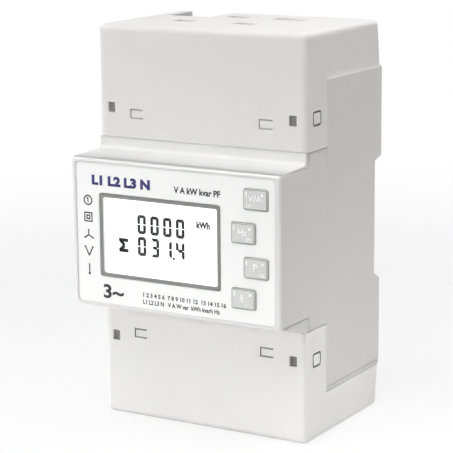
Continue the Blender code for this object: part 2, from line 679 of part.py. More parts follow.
def build_cover(name, side):
    """A terminal cover: L-shaped from the side, boxed out past the housing's end."""
    seam = COVER_SEAM
    front = depth(COVER_FRONT)
    split = depth(SHOULDER_DEPTH) - FIT
    outline = [
        (front, COVER_NECK_EDGE), (split, COVER_NECK_EDGE), (split, seam), (cover_back(seam), seam),
        (cover_back(COVER_END), COVER_END), (front, COVER_END),
    ]
    bm = prism([(y, side * z) for y, z in outline], -1.0, 1.0, "X")
    for vert in bm.verts:
        vert.co.x *= cover_half_width(vert.co.z)

    def outer_edge(middle, direction):
        beside = abs(middle.x) > cover_half_width(COVER_END) - COVER_WALL / 2
        front_upright = beside and near(middle.y, front) and abs(direction.z) > 0.9
        end_side = beside and near(abs(middle.z), COVER_END) and abs(direction.y) > 0.9
        end_front = near(middle.y, front) and near(abs(middle.z), COVER_END)
        return front_upright or end_side or end_front

    round_edges(bm, outer_edge, COVER_EDGE_RADIUS, 4)
    cover = add_object(name, bm, "cover", smooth_angle=30)

    inner_end = COVER_END - COVER_WALL
    back_wall = [(cover_back(z) - COVER_WALL, z) for z in (inner_end, seam - OVERSHOOT)]
    hollow = [(front + COVER_WALL, COVER_NECK_EDGE - OVERSHOOT), (front + COVER_WALL, inner_end)]
    hollow += [back_wall[0], back_wall[1], (back_wall[1][0], COVER_NECK_EDGE - OVERSHOOT)]
    hollow_bm = prism([(y, side * z) for y, z in hollow], -1.0, 1.0, "X")
    for vert in hollow_bm.verts:
        vert.co.x *= cover_half_width(vert.co.z) - COVER_WALL
    cut(cover, hollow_bm, name + "_hollow")
    cut(cover, front_cuts(side), name + "_front_cuts")
    cut(cover, latch_grooves(side), name + "_latch_grooves")
    cut(cover, wire_entries(side), name + "_wire_entries")
    cut(cover, wire_notch(side), name + "_wire_notch")
    return cover


def front_cuts(side):
    """Sealing windows through a cover's front wall, and the C-shaped grooves round its tongues."""
    bm = bmesh.new()
    front = depth(COVER_FRONT) - OVERSHOOT
    groove = depth(COVER_FRONT) + GROOVE_DEPTH
    back = depth(COVER_FRONT) + COVER_WALL + OVERSHOOT
    for sx in (1, -1):
        x, z = sx * SEAL_WINDOW_X, side * SEAL_WINDOW_Z
        add_box(bm, (x - SEAL_WINDOW_WIDTH / 2, front, z - SEAL_WINDOW_HEIGHT / 2),
                (x + SEAL_WINDOW_WIDTH / 2, back, z + SEAL_WINDOW_HEIGHT / 2))
        middle = (sx * TONGUE_X, side * TONGUE_Z)
        add_prism(bm, c_outline(middle, TONGUE_WIDTH / 2, TONGUE_HEIGHT / 2, TONGUE_GROOVE), front, groove, "Y")
    return bm


def c_outline(middle, half_length, half_height, groove):
    """C-shaped groove round a tongue that hangs on at its far end along the first axis."""
    start, end = middle[0] - half_length, middle[0] + half_length
    bottom, top = middle[1] - half_height, middle[1] + half_height
    return [
        (end, top), (start, top), (start, bottom), (end, bottom),
        (end, bottom + groove), (start + groove, bottom + groove),
        (start + groove, top - groove), (end, top - groove),
    ]


def latch_grooves(side):
    """A closed groove in each side wall of a cover, round the pad over the ear's latch nose."""
    bm = bmesh.new()
    middle = (depth(LATCH_PAD_DEPTH), side * LATCH_PAD_Z)
    outer = rounded_rectangle(LATCH_PAD_LENGTH, LATCH_PAD_HEIGHT, LATCH_PAD_CORNER, centre=middle)
    inner = rounded_rectangle(LATCH_PAD_LENGTH - 2 * LATCH_PAD_GROOVE, LATCH_PAD_HEIGHT - 2 * LATCH_PAD_GROOVE,
                              LATCH_PAD_CORNER - LATCH_PAD_GROOVE, centre=middle)
    face = cover_half_width(LATCH_PAD_Z)
    for sx in (1, -1):
        add_ring(bm, outer, inner, sx * (face - GROOVE_DEPTH), sx * (face + OVERSHOOT), "X")
    bmesh.ops.recalc_face_normals(bm, faces=bm.faces)
    return bm


def wire_entries(side):
    """Wire entries through a cover's end."""
    bm = bmesh.new()
    low_z = side * (COVER_END - COVER_WALL - OVERSHOOT)
    high_z = side * (COVER_END + OVERSHOOT)
    for entries, depth_share in ((FRONT_ENTRIES, FRONT_ENTRY_SHARE), (REAR_ENTRIES, REAR_ENTRY_SHARE)):
        y = cover_depth(depth_share)
        for share, width in entries:
            x = share * WIDTH
            add_box(bm, (x - width / 2, y - ENTRY_LENGTH / 2, low_z),
                    (x + width / 2, y + ENTRY_LENGTH / 2, high_z))
    return bm


def wire_notch(side):
    """The notch in a cover's end that is open to the back."""
    return box((NOTCH_X - NOTCH_WIDTH / 2, cover_depth(NOTCH_SHARE), side * (COVER_END - NOTCH_DROP)),
               (NOTCH_X + NOTCH_WIDTH / 2, depth(COVER_REAR) + OVERSHOOT, side * (COVER_END + OVERSHOOT)))


def key_places():
    """Middle of each key, in X and Z, from the top down."""
    return [(KEY_COLUMNS[row % 2], z) for row, z in enumerate(KEY_ROWS)]


def front_openings(bm, gap, low, high):
    """Add openings for the bezel and the keys to a cutter."""
    bezel = rounded_rectangle(BEZEL_WIDTH + 2 * gap, BEZEL_HEIGHT + 2 * gap, BEZEL_CORNER + gap, 2,
                              (DISPLAY_X, DISPLAY_Z))
    add_prism(bm, bezel, low, high, "Y")
    for place in key_places():
        hole = rounded_rectangle(KEY_WIDTH + 2 * gap, KEY_HEIGHT + 2 * gap, KEY_CORNER + gap, 2, place)
        add_prism(bm, hole, low, high, "Y")


def panel_outline(gap):
    """Outline of the pieces inside the panel's rim."""
    width = HOUSING_WIDTH - 2 * RIM_SIDE - 2 * gap
    return rounded_rectangle(width, PANEL_HEIGHT - 2 * RIM_END - 2 * gap, LABEL_CORNER)


def build_faceplate():
    """Plate behind the label, with bosses that carry the display board."""
    bm = prism(panel_outline(FIT), depth(FACEPLATE_RECESS), depth(FACEPLATE_BACK), "Y")
    plate = add_object("faceplate", bm, "faceplate")
    openings = bmesh.new()
    front_openings(openings, SLIDE_FIT, depth(-OVERSHOOT), depth(FACEPLATE_BACK + OVERSHOOT))
    cut(plate, openings, "faceplate_openings")
    bosses = bmesh.new()
    for place in BOSSES:
        add_prism(bosses, circle(BOSS_RADIUS, 12, place), depth(FACEPLATE_RECESS + FACEPLATE_THICKNESS / 2),
                  depth(display_board_front()) - FIT, "Y")
    join(plate, bosses, "faceplate_bosses")
    return plate


def build_front_label():
    """Printed overlay on the faceplate."""
    bm = prism(panel_outline(FIT), depth(LABEL_RECESS), depth(LABEL_RECESS + LABEL_THICKNESS), "Y")
    label = add_object("front_label", bm, "label")
    openings = bmesh.new()
    front_openings(openings, SLIDE_FIT, depth(-OVERSHOOT), depth(FACEPLATE_BACK))
    cut(label, openings, "label_openings")
    return label


def window_front():
    """Depth of the clear window, just behind the bezel's front lip."""
    return LABEL_RECESS + WINDOW_RECESS + SLIDE_FIT


def glass_front():
    """Depth of the display glass, just behind the window."""
    return window_front() + WINDOW_THICKNESS + SLIDE_FIT


def backlight_front():
    """Depth of the backlight, behind both the glass and the faceplate."""
    return max(glass_front() + GLASS_THICKNESS, FACEPLATE_BACK) + FIT


def display_board_front():
    """Depth of the display board's front, behind the backlight."""
    return backlight_front() + BACKLIGHT_THICKNESS + FIT


def build_display():
    """Bezel, clear window, display glass and backlight."""
    origin = Vector((DISPLAY_X, depth(LABEL_RECESS), DISPLAY_Z))
    outline = rounded_rectangle(BEZEL_WIDTH, BEZEL_HEIGHT, BEZEL_CORNER, 2)
    bezel = add_object("lcd_bezel", prism(outline, 0.0, FACEPLATE_BACK - LABEL_RECESS, "Y"), "bezel", origin)
    view_size = (BEZEL_WIDTH - 2 * BEZEL_BORDER, BEZEL_HEIGHT - 2 * BEZEL_BORDER)
    view = rounded_rectangle(*view_size, BEZEL_CORNER, 2)
    cut(bezel, prism(view, -OVERSHOOT, FACEPLATE_BACK + OVERSHOOT, "Y"), "bezel_view")
    wall = BEZEL_WALL_SHARE * BEZEL_BORDER
    rebate_size = (BEZEL_WIDTH - 2 * wall, BEZEL_HEIGHT - 2 * wall)
    rebate = rounded_rectangle(*rebate_size, BEZEL_CORNER, 2)
    cut(bezel, prism(rebate, WINDOW_RECESS, FACEPLATE_BACK + OVERSHOOT, "Y"), "bezel_rebate")

    window_size = (rebate_size[0] - 2 * SLIDE_FIT, rebate_size[1] - 2 * SLIDE_FIT)
    window = rounded_rectangle(*window_size, BEZEL_CORNER, 2)
    add_object("lcd_window", prism(window, 0.0, WINDOW_THICKNESS, "Y"), "window",
               (DISPLAY_X, depth(window_front()), DISPLAY_Z))
    add_object("lcd_glass", prism(window, 0.0, GLASS_THICKNESS, "Y"), "lcd",
               (DISPLAY_X, depth(glass_front()), DISPLAY_Z))
    half = (BEZEL_WIDTH / 2 + BACKLIGHT_MARGIN, BEZEL_HEIGHT / 2 + BACKLIGHT_MARGIN)
    add_object("lcd_backlight", box((-half[0], 0.0, -half[1]), (half[0], BACKLIGHT_THICKNESS, half[1])),
               "backlight", (DISPLAY_X, depth(backlight_front()), DISPLAY_Z))


def build_display_board():
    """Board that carries the display and the key switches."""
    half_x = HALF_WIDTH - HOUSING_WALL - BOARD_CLEARANCE
    half_z = HALF_PANEL - HOUSING_WALL - BOARD_CLEARANCE
    add_object("display_board", box((-half_x, 0.0, -half_z), (half_x, BOARD_THICKNESS, half_z)), "board",
               (0.0, depth(display_board_front()), 0.0))


def build_keys():
    """Four keys, each with the plunger it presses and the switch body behind it."""
    flange_front = FACEPLATE_BACK + FIT
    flange_back = flange_front + KEY_FLANGE_THICKNESS
    plunger_front = flange_back + FIT
    switch_front = flange_back + KEY_TRAVEL + FIT
    switch_back = display_board_front() - FIT
    for number, (x, z) in enumerate(key_places(), start=1):
        place = (x, depth(0.0), z)
        cap = rounded_rectangle(KEY_WIDTH, KEY_HEIGHT, KEY_CORNER, 2)
        bm = prism(cap, -KEY_PROUD, flange_front + FIT / 2, "Y")
        round_edges(bm, lambda m, d: near(m.y, -KEY_PROUD), KEY_EDGE_RADIUS, 2)
        key = add_object(f"key_{number}", bm, "key", place, smooth_angle=40)
        rim = rounded_rectangle(KEY_WIDTH + 2 * KEY_FLANGE, KEY_HEIGHT + 2 * KEY_FLANGE, KEY_CORNER, 2)
        join(key, prism(rim, flange_front, flange_back, "Y"), f"key_{number}_flange")

        plunger = prism(circle(PLUNGER_RADIUS, 16), plunger_front, plunger_front + PLUNGER_LENGTH, "Y")
        add_object(f"switch_plunger_{number}", plunger, "black_plastic", place, smooth_angle=40)
        half = SWITCH_SIZE / 2
        body = box((-half, switch_front, -half), (half, switch_back, half))
        switch = add_object(f"key_switch_{number}", body, "steel", place)
        bore_back = plunger_front + PLUNGER_LENGTH + KEY_TRAVEL + FIT
        bore = prism(circle(PLUNGER_RADIUS + SLIDE_FIT, 16), switch_front - OVERSHOOT, bore_back, "Y")
        cut(switch, bore, f"key_switch_{number}_bore")


def board_front_part(name, x, spec, board_depth, material_name, radius=PART_CORNER):
    """A part seated on a board's front face."""
    z, width, height, thickness = spec
    outline = rounded_rectangle(width, height, radius, 2)
    place = (x, depth(board_depth) - FIT, z)
    return add_object(name, prism(outline, -thickness, 0.0, "Y"), material_name, place, smooth_angle=40)


def build_inner_boards():
    """Measuring and power boards, their headers and what stands on them."""
    half_x = HALF_WIDTH - HOUSING_WALL - BOARD_CLEARANCE
    half_z = HALF_NECK - HOUSING_WALL - BOARD_CLEARANCE
    add_object("measuring_board", box((-half_x, 0.0, -half_z), (half_x, BOARD_THICKNESS, half_z)), "board",
               (0.0, depth(MEASURING_BOARD_DEPTH), 0.0))
    half_z = CAVITY_END - BOARD_CLEARANCE
    add_object("power_board", box((-half_x, 0.0, -half_z), (half_x, BOARD_THICKNESS, half_z)), "board",
               (0.0, depth(POWER_BOARD_DEPTH), 0.0))

    spans = (
        ("display_header", display_board_front(), MEASURING_BOARD_DEPTH, DISPLAY_HEADER_Z),
        ("power_header", MEASURING_BOARD_DEPTH, POWER_BOARD_DEPTH, POWER_HEADER_Z),
    )
    for name, front_board, back_board, z in spans:
        front = front_board + BOARD_THICKNESS + FIT
        back = back_board - FIT
        low = (-HEADER_WIDTH / 2, 0.0, -HEADER_HEIGHT / 2)
        high = (HEADER_WIDTH / 2, back - front, HEADER_HEIGHT / 2)
        add_object(name, box(low, high), "black_plastic", (0.0, depth(front), z))

    board_front_part("supply_transformer", TRANSFORMER_SIDE - HALF_WIDTH, TRANSFORMER, POWER_BOARD_DEPTH,
                     "winding", TRANSFORMER_CORNER)
    board_front_part("filter_capacitor", HALF_WIDTH - FILTER_CAPACITOR_SIDE, FILTER_CAPACITOR,
                     POWER_BOARD_DEPTH, "film_capacitor")
    board_front_part("metering_chip", METERING_CHIP_X, METERING_CHIP, MEASURING_BOARD_DEPTH, "black_plastic",
                     CHIP_CORNER)
    board_front_part("processor_chip", PROCESSOR_CHIP_X, PROCESSOR_CHIP, MEASURING_BOARD_DEPTH,
                     "black_plastic", CHIP_CORNER)
    x, z, radius, length = SUPPLY_CAPACITOR
    back = depth(POWER_BOARD_DEPTH) - FIT
    add_object("supply_capacitor", prism(circle(radius, 20), -length, 0.0, "Y"), "capacitor",
               (x, back, z), 40)
    for number, inset in enumerate(VARISTOR_SIDES, start=1):
        x = HALF_WIDTH - inset
        outline = circle(VARISTOR_RADIUS, 16, (back - VARISTOR_RADIUS, VARISTOR_Z))
        disc = prism(outline, x - VARISTOR_THICKNESS / 2, x + VARISTOR_THICKNESS / 2, "X")
        add_object(f"varistor_{number}", disc, "varistor", smooth_angle=40)


def pole_positions(poles, pitch):
    """X of each pole of a terminal block, from the left."""
    return [(i - (poles - 1) / 2) * pitch for i in range(poles)]


def build_terminals(prefix, side, poles, pitch):
    """A terminal block with its screws and lift clamps."""
    inner, outer = block_span()
    middle = clamp_height()
    half = BLOCK_WIDTH / 2
    origin = Vector((0.0, depth(BLOCK_FRONT), side * middle))
    back = POWER_BOARD_DEPTH - FIT - BLOCK_FRONT
    body = box((-half, 0.0, -(outer - inner) / 2), (half, back, (outer - inner) / 2))
    block = add_object(f"{prefix}_terminal_block", body, "block", origin)

    head_seat = SCREW_SUNK + SCREW_HEAD_LENGTH + FIT
    bores = bmesh.new()
    pockets = bmesh.new()
    wires = bmesh.new()
    clamp_low = CLAMP_SUNK - FIT
    clamp_high = CLAMP_SUNK + CLAMP_LENGTH + FIT
    wire_middle = CLAMP_SUNK + CLAMP_LENGTH / 2
    for x in pole_positions(poles, pitch):
        add_prism(bores, circle(SCREW_HEAD_RADIUS + FIT, 16, (x, 0.0)), -OVERSHOOT, head_seat, "Y")
        add_box(pockets, (x - CLAMP_WIDTH / 2 - FIT, clamp_low, -CLAMP_HEIGHT / 2 - FIT),
                (x + CLAMP_WIDTH / 2 + FIT, clamp_high, CLAMP_HEIGHT / 2 + FIT))
        half_x, half_y = WIRE_HOLE_WIDTH / 2, WIRE_HOLE_LENGTH / 2
        add_box(wires, (x - half_x, wire_middle - half_y, 0.0),
                (x + half_x, wire_middle + half_y, side * (outer - middle + OVERSHOOT)))
    cut(block, bores, f"{prefix}_head_bores")
    cut(block, pockets, f"{prefix}_clamp_pockets")
    cut(block, wires, f"{prefix}_wire_holes")
    shanks = bmesh.new()
    for x in pole_positions(poles, pitch):
        add_prism(shanks, circle(SCREW_SHANK_RADIUS + FIT, 12, (x, 0.0)), head_seat / 2, clamp_low + FIT, "Y")
    cut(block, shanks, f"{prefix}_shank_bores")

    for number, x in enumerate(pole_positions(poles, pitch), start=1):
        place = (x, origin.y, origin.z)
        build_screw(f"{prefix}_terminal_screw_{number}", place)
        build_clamp(f"{prefix}_terminal_clamp_{number}", place)


def build_screw(name, place):
    """Slotted terminal screw, its axis along Y."""
    head_back = SCREW_SUNK + SCREW_HEAD_LENGTH
    head = prism(circle(SCREW_HEAD_RADIUS, 16), SCREW_SUNK, head_back, "Y")
    screw = add_object(name, head, "steel", place, 40)
    shank_front = head_back - SCREW_HEAD_LENGTH / 2
    shank = prism(circle(SCREW_SHANK_RADIUS, 12), shank_front, SCREW_SUNK + SCREW_LENGTH, "Y")
    join(screw, shank, name + "_shank")
    reach = SCREW_HEAD_RADIUS + OVERSHOOT
    slot = box((-reach, SCREW_SUNK - OVERSHOOT, -SCREW_SLOT / 2),
               (reach, SCREW_SUNK + SCREW_SLOT_DEPTH, SCREW_SLOT / 2))
    cut(screw, slot, name + "_slot")


def build_clamp(name, place):
    """Lift clamp: a steel frame that the wire passes through along Z."""
    low, high = CLAMP_SUNK, CLAMP_SUNK + CLAMP_LENGTH
    half = CLAMP_WIDTH / 2
    frame = box((-half, low, -CLAMP_HEIGHT / 2), (half, high, CLAMP_HEIGHT / 2))
    clamp = add_object(name, frame, "steel", place)
    tunnel = box((-half + CLAMP_WALL, low + CLAMP_WALL, -CLAMP_HEIGHT),
                 (half - CLAMP_WALL, high - CLAMP_WALL, CLAMP_HEIGHT))
    cut(clamp, tunnel, name + "_tunnel")
    hole = prism(circle(SCREW_SHANK_RADIUS + SLIDE_FIT, 12), low - OVERSHOOT, low + 2 * CLAMP_WALL, "Y")
    cut(clamp, hole, name + "_hole")


def main():
    """Build the meter."""
    clear_scene()
    build_main_housing()
    build_rear_base()
    build_din_clip()
    build_cover("top_terminal_cover", 1)
    build_cover("bottom_terminal_cover", -1)
    build_faceplate()
    build_front_label()
    build_display()
    build_display_board()
    build_keys()
    build_inner_boards()
    build_terminals("top", 1, TOP_POLES, TOP_PITCH)
    build_terminals("bottom", -1, BOTTOM_POLES, BOTTOM_PITCH)


main()
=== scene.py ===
"""Looks of a DIN rail energy meter: camera, light, finishes, print and display segments."""
from __future__ import annotations

import logging
import math
from dataclasses import dataclass
from enum import Enum
from typing import Callable, Iterable, Sequence

import bmesh
import bpy
from mathutils import Matrix, Vector

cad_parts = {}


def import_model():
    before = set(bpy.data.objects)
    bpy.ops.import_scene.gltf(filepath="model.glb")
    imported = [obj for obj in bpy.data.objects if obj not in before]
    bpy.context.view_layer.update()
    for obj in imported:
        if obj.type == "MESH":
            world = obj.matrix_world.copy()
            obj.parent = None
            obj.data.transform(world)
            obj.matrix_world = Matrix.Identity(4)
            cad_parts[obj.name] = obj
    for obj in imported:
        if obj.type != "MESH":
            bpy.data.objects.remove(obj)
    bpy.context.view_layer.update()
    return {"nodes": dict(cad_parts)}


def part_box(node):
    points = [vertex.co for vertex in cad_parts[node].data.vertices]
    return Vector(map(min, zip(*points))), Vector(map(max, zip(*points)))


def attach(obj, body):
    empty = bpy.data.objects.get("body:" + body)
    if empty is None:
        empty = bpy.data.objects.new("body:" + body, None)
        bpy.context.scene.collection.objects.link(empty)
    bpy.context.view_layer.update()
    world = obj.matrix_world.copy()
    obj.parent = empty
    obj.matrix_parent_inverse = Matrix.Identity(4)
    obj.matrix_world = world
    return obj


LOG = logging.getLogger("meter")
MM = 0.001
METER = "meter"
QUARTER = math.pi / 2
LEVELS = (("upper", 1), ("lower", -1))
SIDES = (("left", -1), ("right", 1))

Colour = tuple[float, float, float]
Point = tuple[float, float]
Outline = Sequence[Point]
Material = bpy.types.Material
Nodes = dict[str, bpy.types.Object]
Socket = bpy.types.NodeSocket

WHITE: Colour = (1.0, 1.0, 1.0)
FRONT_Y = -60.6 * MM          # plane of the panel's front, in the frame of the rail seat
LABEL_Y = FRONT_Y + 0.12 * MM
GLASS_Y = FRONT_Y + 1.42 * MM
KEY_FACE_Y = FRONT_Y - 0.45 * MM
PRINT_THICKNESS = 0.02 * MM
PRINT_SUNK = 0.01 * MM        # how far print reaches into what carries it
PRINT_WELD = 0.001 * MM       # points of a letter that are nearer than this are one
LETTER_STEPS = 3              # straight pieces in each curve of a letter


def from_srgb(level: float) -> float:
    """Linear value of an sRGB level from 0 to 255."""
    value = level / 255.0
    return value / 12.92 if value <= 0.04045 else ((value + 0.055) / 1.055) ** 2.4


def rgb(red: float, green: float, blue: float) -> Colour:
    """Linear colour from three sRGB levels."""
    return (from_srgb(red), from_srgb(green), from_srgb(blue))


def scaled(colour: Colour, factor: float) -> Colour:
    """Colour times a factor."""
    return (colour[0] * factor, colour[1] * factor, colour[2] * factor)


class NodeGraph:
    """Short way to make and join shader nodes in one material or world."""

    def __init__(self, tree: bpy.types.NodeTree) -> None:
        """Start from an empty tree."""
        self.tree = tree
        tree.nodes.clear()

    def add(self, kind: str, output: str | int, **values: object) -> Socket:
        """Add a node.

        Args:
            kind: Blender's name for the node type, after "ShaderNode".
            output: name or number of the output that is wanted.
            values: the node's properties first, then a value or an output for each input. An input goes by its
                name, with "_" for a blank, or by its number after "in_".

        Returns:
            The output.
        """
        node = self.tree.nodes.new("ShaderNode" + kind)
        for name, value in values.items():
            numbered = name.startswith("in_")
            socket = node.inputs[int(name[3:])] if numbered else node.inputs.get(name.replace("_", " "))
            if socket is None:
                setattr(node, name, value)
            elif isinstance(value, Socket):
                self.tree.links.new(value, socket)
            elif socket.type == "RGBA":
                socket.default_value = (*value, 1.0)
            else:
                socket.default_value = value
        return node.outputs[output]

    def surface(self, shader: Socket, kind: str = "OutputMaterial") -> None:
        """End the graph in an output node."""
        node = self.tree.nodes.new("ShaderNode" + kind)
        self.tree.links.new(shader, node.inputs["Surface"])

    def position(self) -> Socket:
        """Place on the object, in metres of the row's frame."""
        return self.add("TexCoord", "Object")

    def along(self, axis: str) -> Socket:
        """One coordinate of the place on the object."""
        return self.add("SeparateXYZ", axis, in_0=self.position())

    def noise(self, size: float, detail: float = 2.0, vector: Socket | None = None) -> Socket:
        """Noise from 0 to 1 with cells of a size in metres, read at a place or else on the object."""
        return self.add("TexNoise", "Fac", Scale=1.0 / size, Detail=detail, Vector=vector or self.position())

    def spread(self, value: Socket, low: float, high: float) -> Socket:
        """Map a 0 to 1 value to a range."""
        return self.add("MapRange", "Result", Value=value, To_Min=low, To_Max=high)

    def around(self, value: Socket, middle: float, reach: float) -> Socket:
        """Map a 0 to 1 value to a range on both sides of a middle."""
        return self.spread(value, middle - reach, middle + reach)

    def mix(self, factor: Socket, low: Colour | Socket, high: Colour | Socket) -> Socket:
        """Mix two colours by a factor."""
        return self.add("Mix", 2, data_type="RGBA", in_0=factor, in_6=low, in_7=high)

    def tinted(self, factor: Socket, colour: Colour, low: float, high: float = 1.0) -> Socket:
        """Mix two shades of a colour by a factor."""
        return self.mix(factor, scaled(colour, low), scaled(colour, high))

    def dimmed(self, colour: Socket, factor: Socket) -> Socket:
        """Colour times a factor that is an output."""
        return self.add("VectorMath", "Vector", operation="SCALE", in_0=colour, Scale=factor)

    def maths(self, operation: str, first: Socket | float, second: Socket | float = 0.0) -> Socket:
        """Work out one sum, by Blender's name for it."""
        return self.add("Math", "Value", operation=operation, in_0=first, in_1=second)

    def bump(self, height: Socket, distance: float, strength: float = 1.0, normal: Socket | None = None) -> Socket:
        """Normal with the relief of a height, its depth in metres, on top of another normal."""
        below = {"Normal": normal} if normal else {}
        return self.add("Bump", "Normal", Distance=distance, Strength=strength, Height=height, **below)

    def edge(self, radius: float) -> Socket:
        """Normal that is rounded near edges."""
        return self.add("Bevel", "Normal", samples=4, Radius=radius)

    def principled(self, colour: Socket, roughness: Socket, **values: object) -> Socket:
        """Principled shader."""
        return self.add("BsdfPrincipled", "BSDF", Base_Color=colour, Roughness=roughness, **values)

    def either(self, factor: Socket, first: Socket, second: Socket) -> Socket:
        """Mix two shaders by a factor."""
        return self.add("MixShader", "Shader", in_0=factor, in_1=first, in_2=second)

    def beyond(self, axis: str, limit: float) -> Socket:
        """Factor that is 1 where the distance from the frame's middle along an axis is over a limit."""
        return self.maths("GREATER_THAN", self.maths("ABSOLUTE", self.along(axis)), limit)

    def paint_edge_highlight(self, colour: Socket, reach: float, lift: float, full_turn: float = 0.85) -> Socket:
        """Lighten a colour near edges, as a painted highlight where the edges would catch the light.

        Args:
            colour: colour that is lightened.
            reach: how far from an edge the change goes, in metres.
            lift: share by which the painted highlight makes it lighter at the edge.
            full_turn: cosine between the rounded and the true normal where it is lightest.

        Returns:
            The new colour.
        """
        turned = self.add("VectorMath", "Value", operation="DOT_PRODUCT", in_0=self.edge(reach),
                          in_1=self.add("NewGeometry", "Normal"))
        gain = self.add("MapRange", "Result", Value=turned, From_Min=1.0, From_Max=full_turn, To_Min=1.0,
                        To_Max=1.0 + lift)
        return self.dimmed(colour, gain)

    def paint_groove_shade(self, colour: Socket, reach: float, share: Socket, closed: float = 0.35,
                       open_from: float = 0.75) -> Socket:
        """Darken a colour inside fine grooves: painted shade where little light gets in.

        Args:
            colour: colour that is darkened.
            reach: width of the grooves, in metres.
            share: share by which it gets darker deep inside.
            closed: openness at which it is darkest.
            open_from: openness from which it stays as it is.

        Returns:
            The new colour.
        """
        openness = self.add("AmbientOcclusion", "AO", samples=6, only_local=True, Distance=reach)
        inside = self.add("MapRange", "Result", Value=openness, From_Min=closed, From_Max=open_from, To_Min=1.0,
                          To_Max=0.0)
        return self.dimmed(colour, self.maths("SUBTRACT", 1.0, self.maths("MULTIPLY", share, inside)))


def new_material(name: str, shader: Callable[[NodeGraph], Socket]) -> Material:
    """Make a node material.

    Args:
        name: name of the material.
        shader: fills a graph and returns its shader.

    Returns:
        The material.
    """
    made = bpy.data.materials.new(name)
    made.use_nodes = True
    graph = NodeGraph(made.node_tree)
    graph.surface(shader(graph))
    return made


@dataclass(frozen=True)
class Finish:
    """Finish of a surface. Each kind says how its shader is made in a graph."""

    name: str

    def shader(self, graph: NodeGraph) -> Socket:
        """Make the finish's shader in a graph and return it."""
        raise NotImplementedError(self.name)

    def build(self) -> Material:
        """Make the material."""
        return new_material(self.name, self.shader)


@dataclass(frozen=True)
class MouldedPlastic(Finish):
    """Satin moulded plastic with a fine eroded grain, faint mottling and softened edges."""

    colour: Colour
    roughness: float = 0.42
    roughness_spread: float = 0.08
    grain_size: float = 0.22 * MM
    grain_depth: float = 0.004 * MM
    mottle_size: float = 9.0 * MM
    mottle: float = 0.018
    edge_radius: float = 0.25 * MM
    painted_edge_highlight: float = 0.0        # painted highlight: how much lighter the plastic is made along its edges
    edge_reach: float = 1.2 * MM
    translucency: float = 0.0     # share of the light that scatters inside the plastic
    scatter: float = 1.6 * MM     # how far it does so, and how far its colours do
    scatter_colour: Colour = (1.0, 0.95, 0.9)
    far_colour: Colour | None = None   # colour beyond a distance from the frame's middle
    far_axis: str = "X"
    far_limit: float = 35.3 * MM
    grooves: tuple[float, float] = (0.0, 0.0)   # painted shade: how much darker the front's and the sides' grooves are made
    groove_reach: float = 0.9 * MM
    groove_side: float = 35.2 * MM
    groove_end: float = 45.0 * MM

    def shader(self, graph: NodeGraph) -> Socket:
        """Make the plastic's shader.

        Args:
            graph: graph that its nodes go into.

        Returns:
            The shader.
        """
        colour = graph.tinted(graph.noise(self.mottle_size, 3.0), self.colour, 1.0 - self.mottle, 1.0 + self.mottle)
        # painted highlight: lighter colour along the edges
        if self.painted_edge_highlight:
            colour = graph.paint_edge_highlight(colour, self.edge_reach, self.painted_edge_highlight)
        if self.far_colour:
            colour = graph.mix(graph.beyond(self.far_axis, self.far_limit), colour, self.far_colour)
        # painted shade in the grooves, from ambient occlusion
        if any(self.grooves):
            share = graph.spread(graph.beyond("X", self.groove_side), *self.grooves)
            inside = graph.maths("SUBTRACT", 1.0, graph.beyond("Z", self.groove_end))
            colour = graph.paint_groove_shade(colour, self.groove_reach, graph.maths("MULTIPLY", share, inside))
        grain = graph.noise(self.grain_size, 3.0)
        normal = graph.edge(self.edge_radius) if self.edge_radius else None
        return graph.principled(colour, graph.around(grain, self.roughness, self.roughness_spread),
                                Normal=graph.bump(grain, self.grain_depth, 1.0, normal),
                                Subsurface_Weight=self.translucency, Subsurface_Radius=self.scatter_colour,
                                Subsurface_Scale=self.scatter)


@dataclass(frozen=True)
class FacedPlastic(Finish):
    """Pale moulded plastic whose front face carries another colour."""

    face: Colour
    body: Colour
    face_end: float       # Y up to which the front's colour reaches
    roughness: float = 0.45
    roughness_spread: float = 0.06
    speckle_size: float = 0.8 * MM
    speckle: float = 0.05
    grain_size: float = 0.2 * MM
    grain_depth: float = 0.003 * MM

    def shader(self, graph: NodeGraph) -> Socket:
        """Make the plastic's shader.

        Args:
            graph: graph that its nodes go into.

        Returns:
            The shader.
        """
        speckles = graph.noise(self.speckle_size, 3.0)
        face = graph.tinted(speckles, self.face, 1.0 - self.speckle, 1.0 + self.speckle)
        behind = graph.maths("GREATER_THAN", graph.along("Y"), self.face_end)
        grain = graph.noise(self.grain_size, 3.0)
        return graph.principled(graph.mix(behind, face, self.body),
                                graph.around(grain, self.roughness, self.roughness_spread),
                                Normal=graph.bump(grain, self.grain_depth))


@dataclass(frozen=True)
class PrintedInk(Finish):
    """Screen-printed ink, a little uneven in tone."""

    colour: Colour
    roughness: float = 0.5
    unevenness: float = 0.15
    roughness_spread: float = 0.05
    grain_size: float = 0.35 * MM

    def shader(self, graph: NodeGraph) -> Socket:
        """Make the ink's shader.

        Args:
            graph: graph that its nodes go into.

        Returns:
            The shader.
        """
        grain = graph.noise(self.grain_size)
        colour = graph.tinted(grain, self.colour, 1.0 - self.unevenness, 1.0 + self.unevenness)
        return graph.principled(colour, graph.around(grain, self.roughness, self.roughness_spread))


@dataclass(frozen=True)
class LitPanel(Finish):
    """Pale display cell, lit from behind and slightly uneven."""

    colour: Colour
    glow: float
    roughness: float = 0.25
    roughness_spread: float = 0.04
    cloud_size: float = 14.0 * MM
    cloud_shade: float = 0.985
    grain_size: float = 0.3 * MM

    def shader(self, graph: NodeGraph) -> Socket:
        """Make the panel's shader.

        Args:
            graph: graph that its nodes go into.

        Returns:
            The shader.
        """
        colour = graph.tinted(graph.noise(self.cloud_size), self.colour, self.cloud_shade)
        roughness = graph.around(graph.noise(self.grain_size), self.roughness, self.roughness_spread)
        return graph.principled(colour, roughness, Emission_Color=colour, Emission_Strength=self.glow)


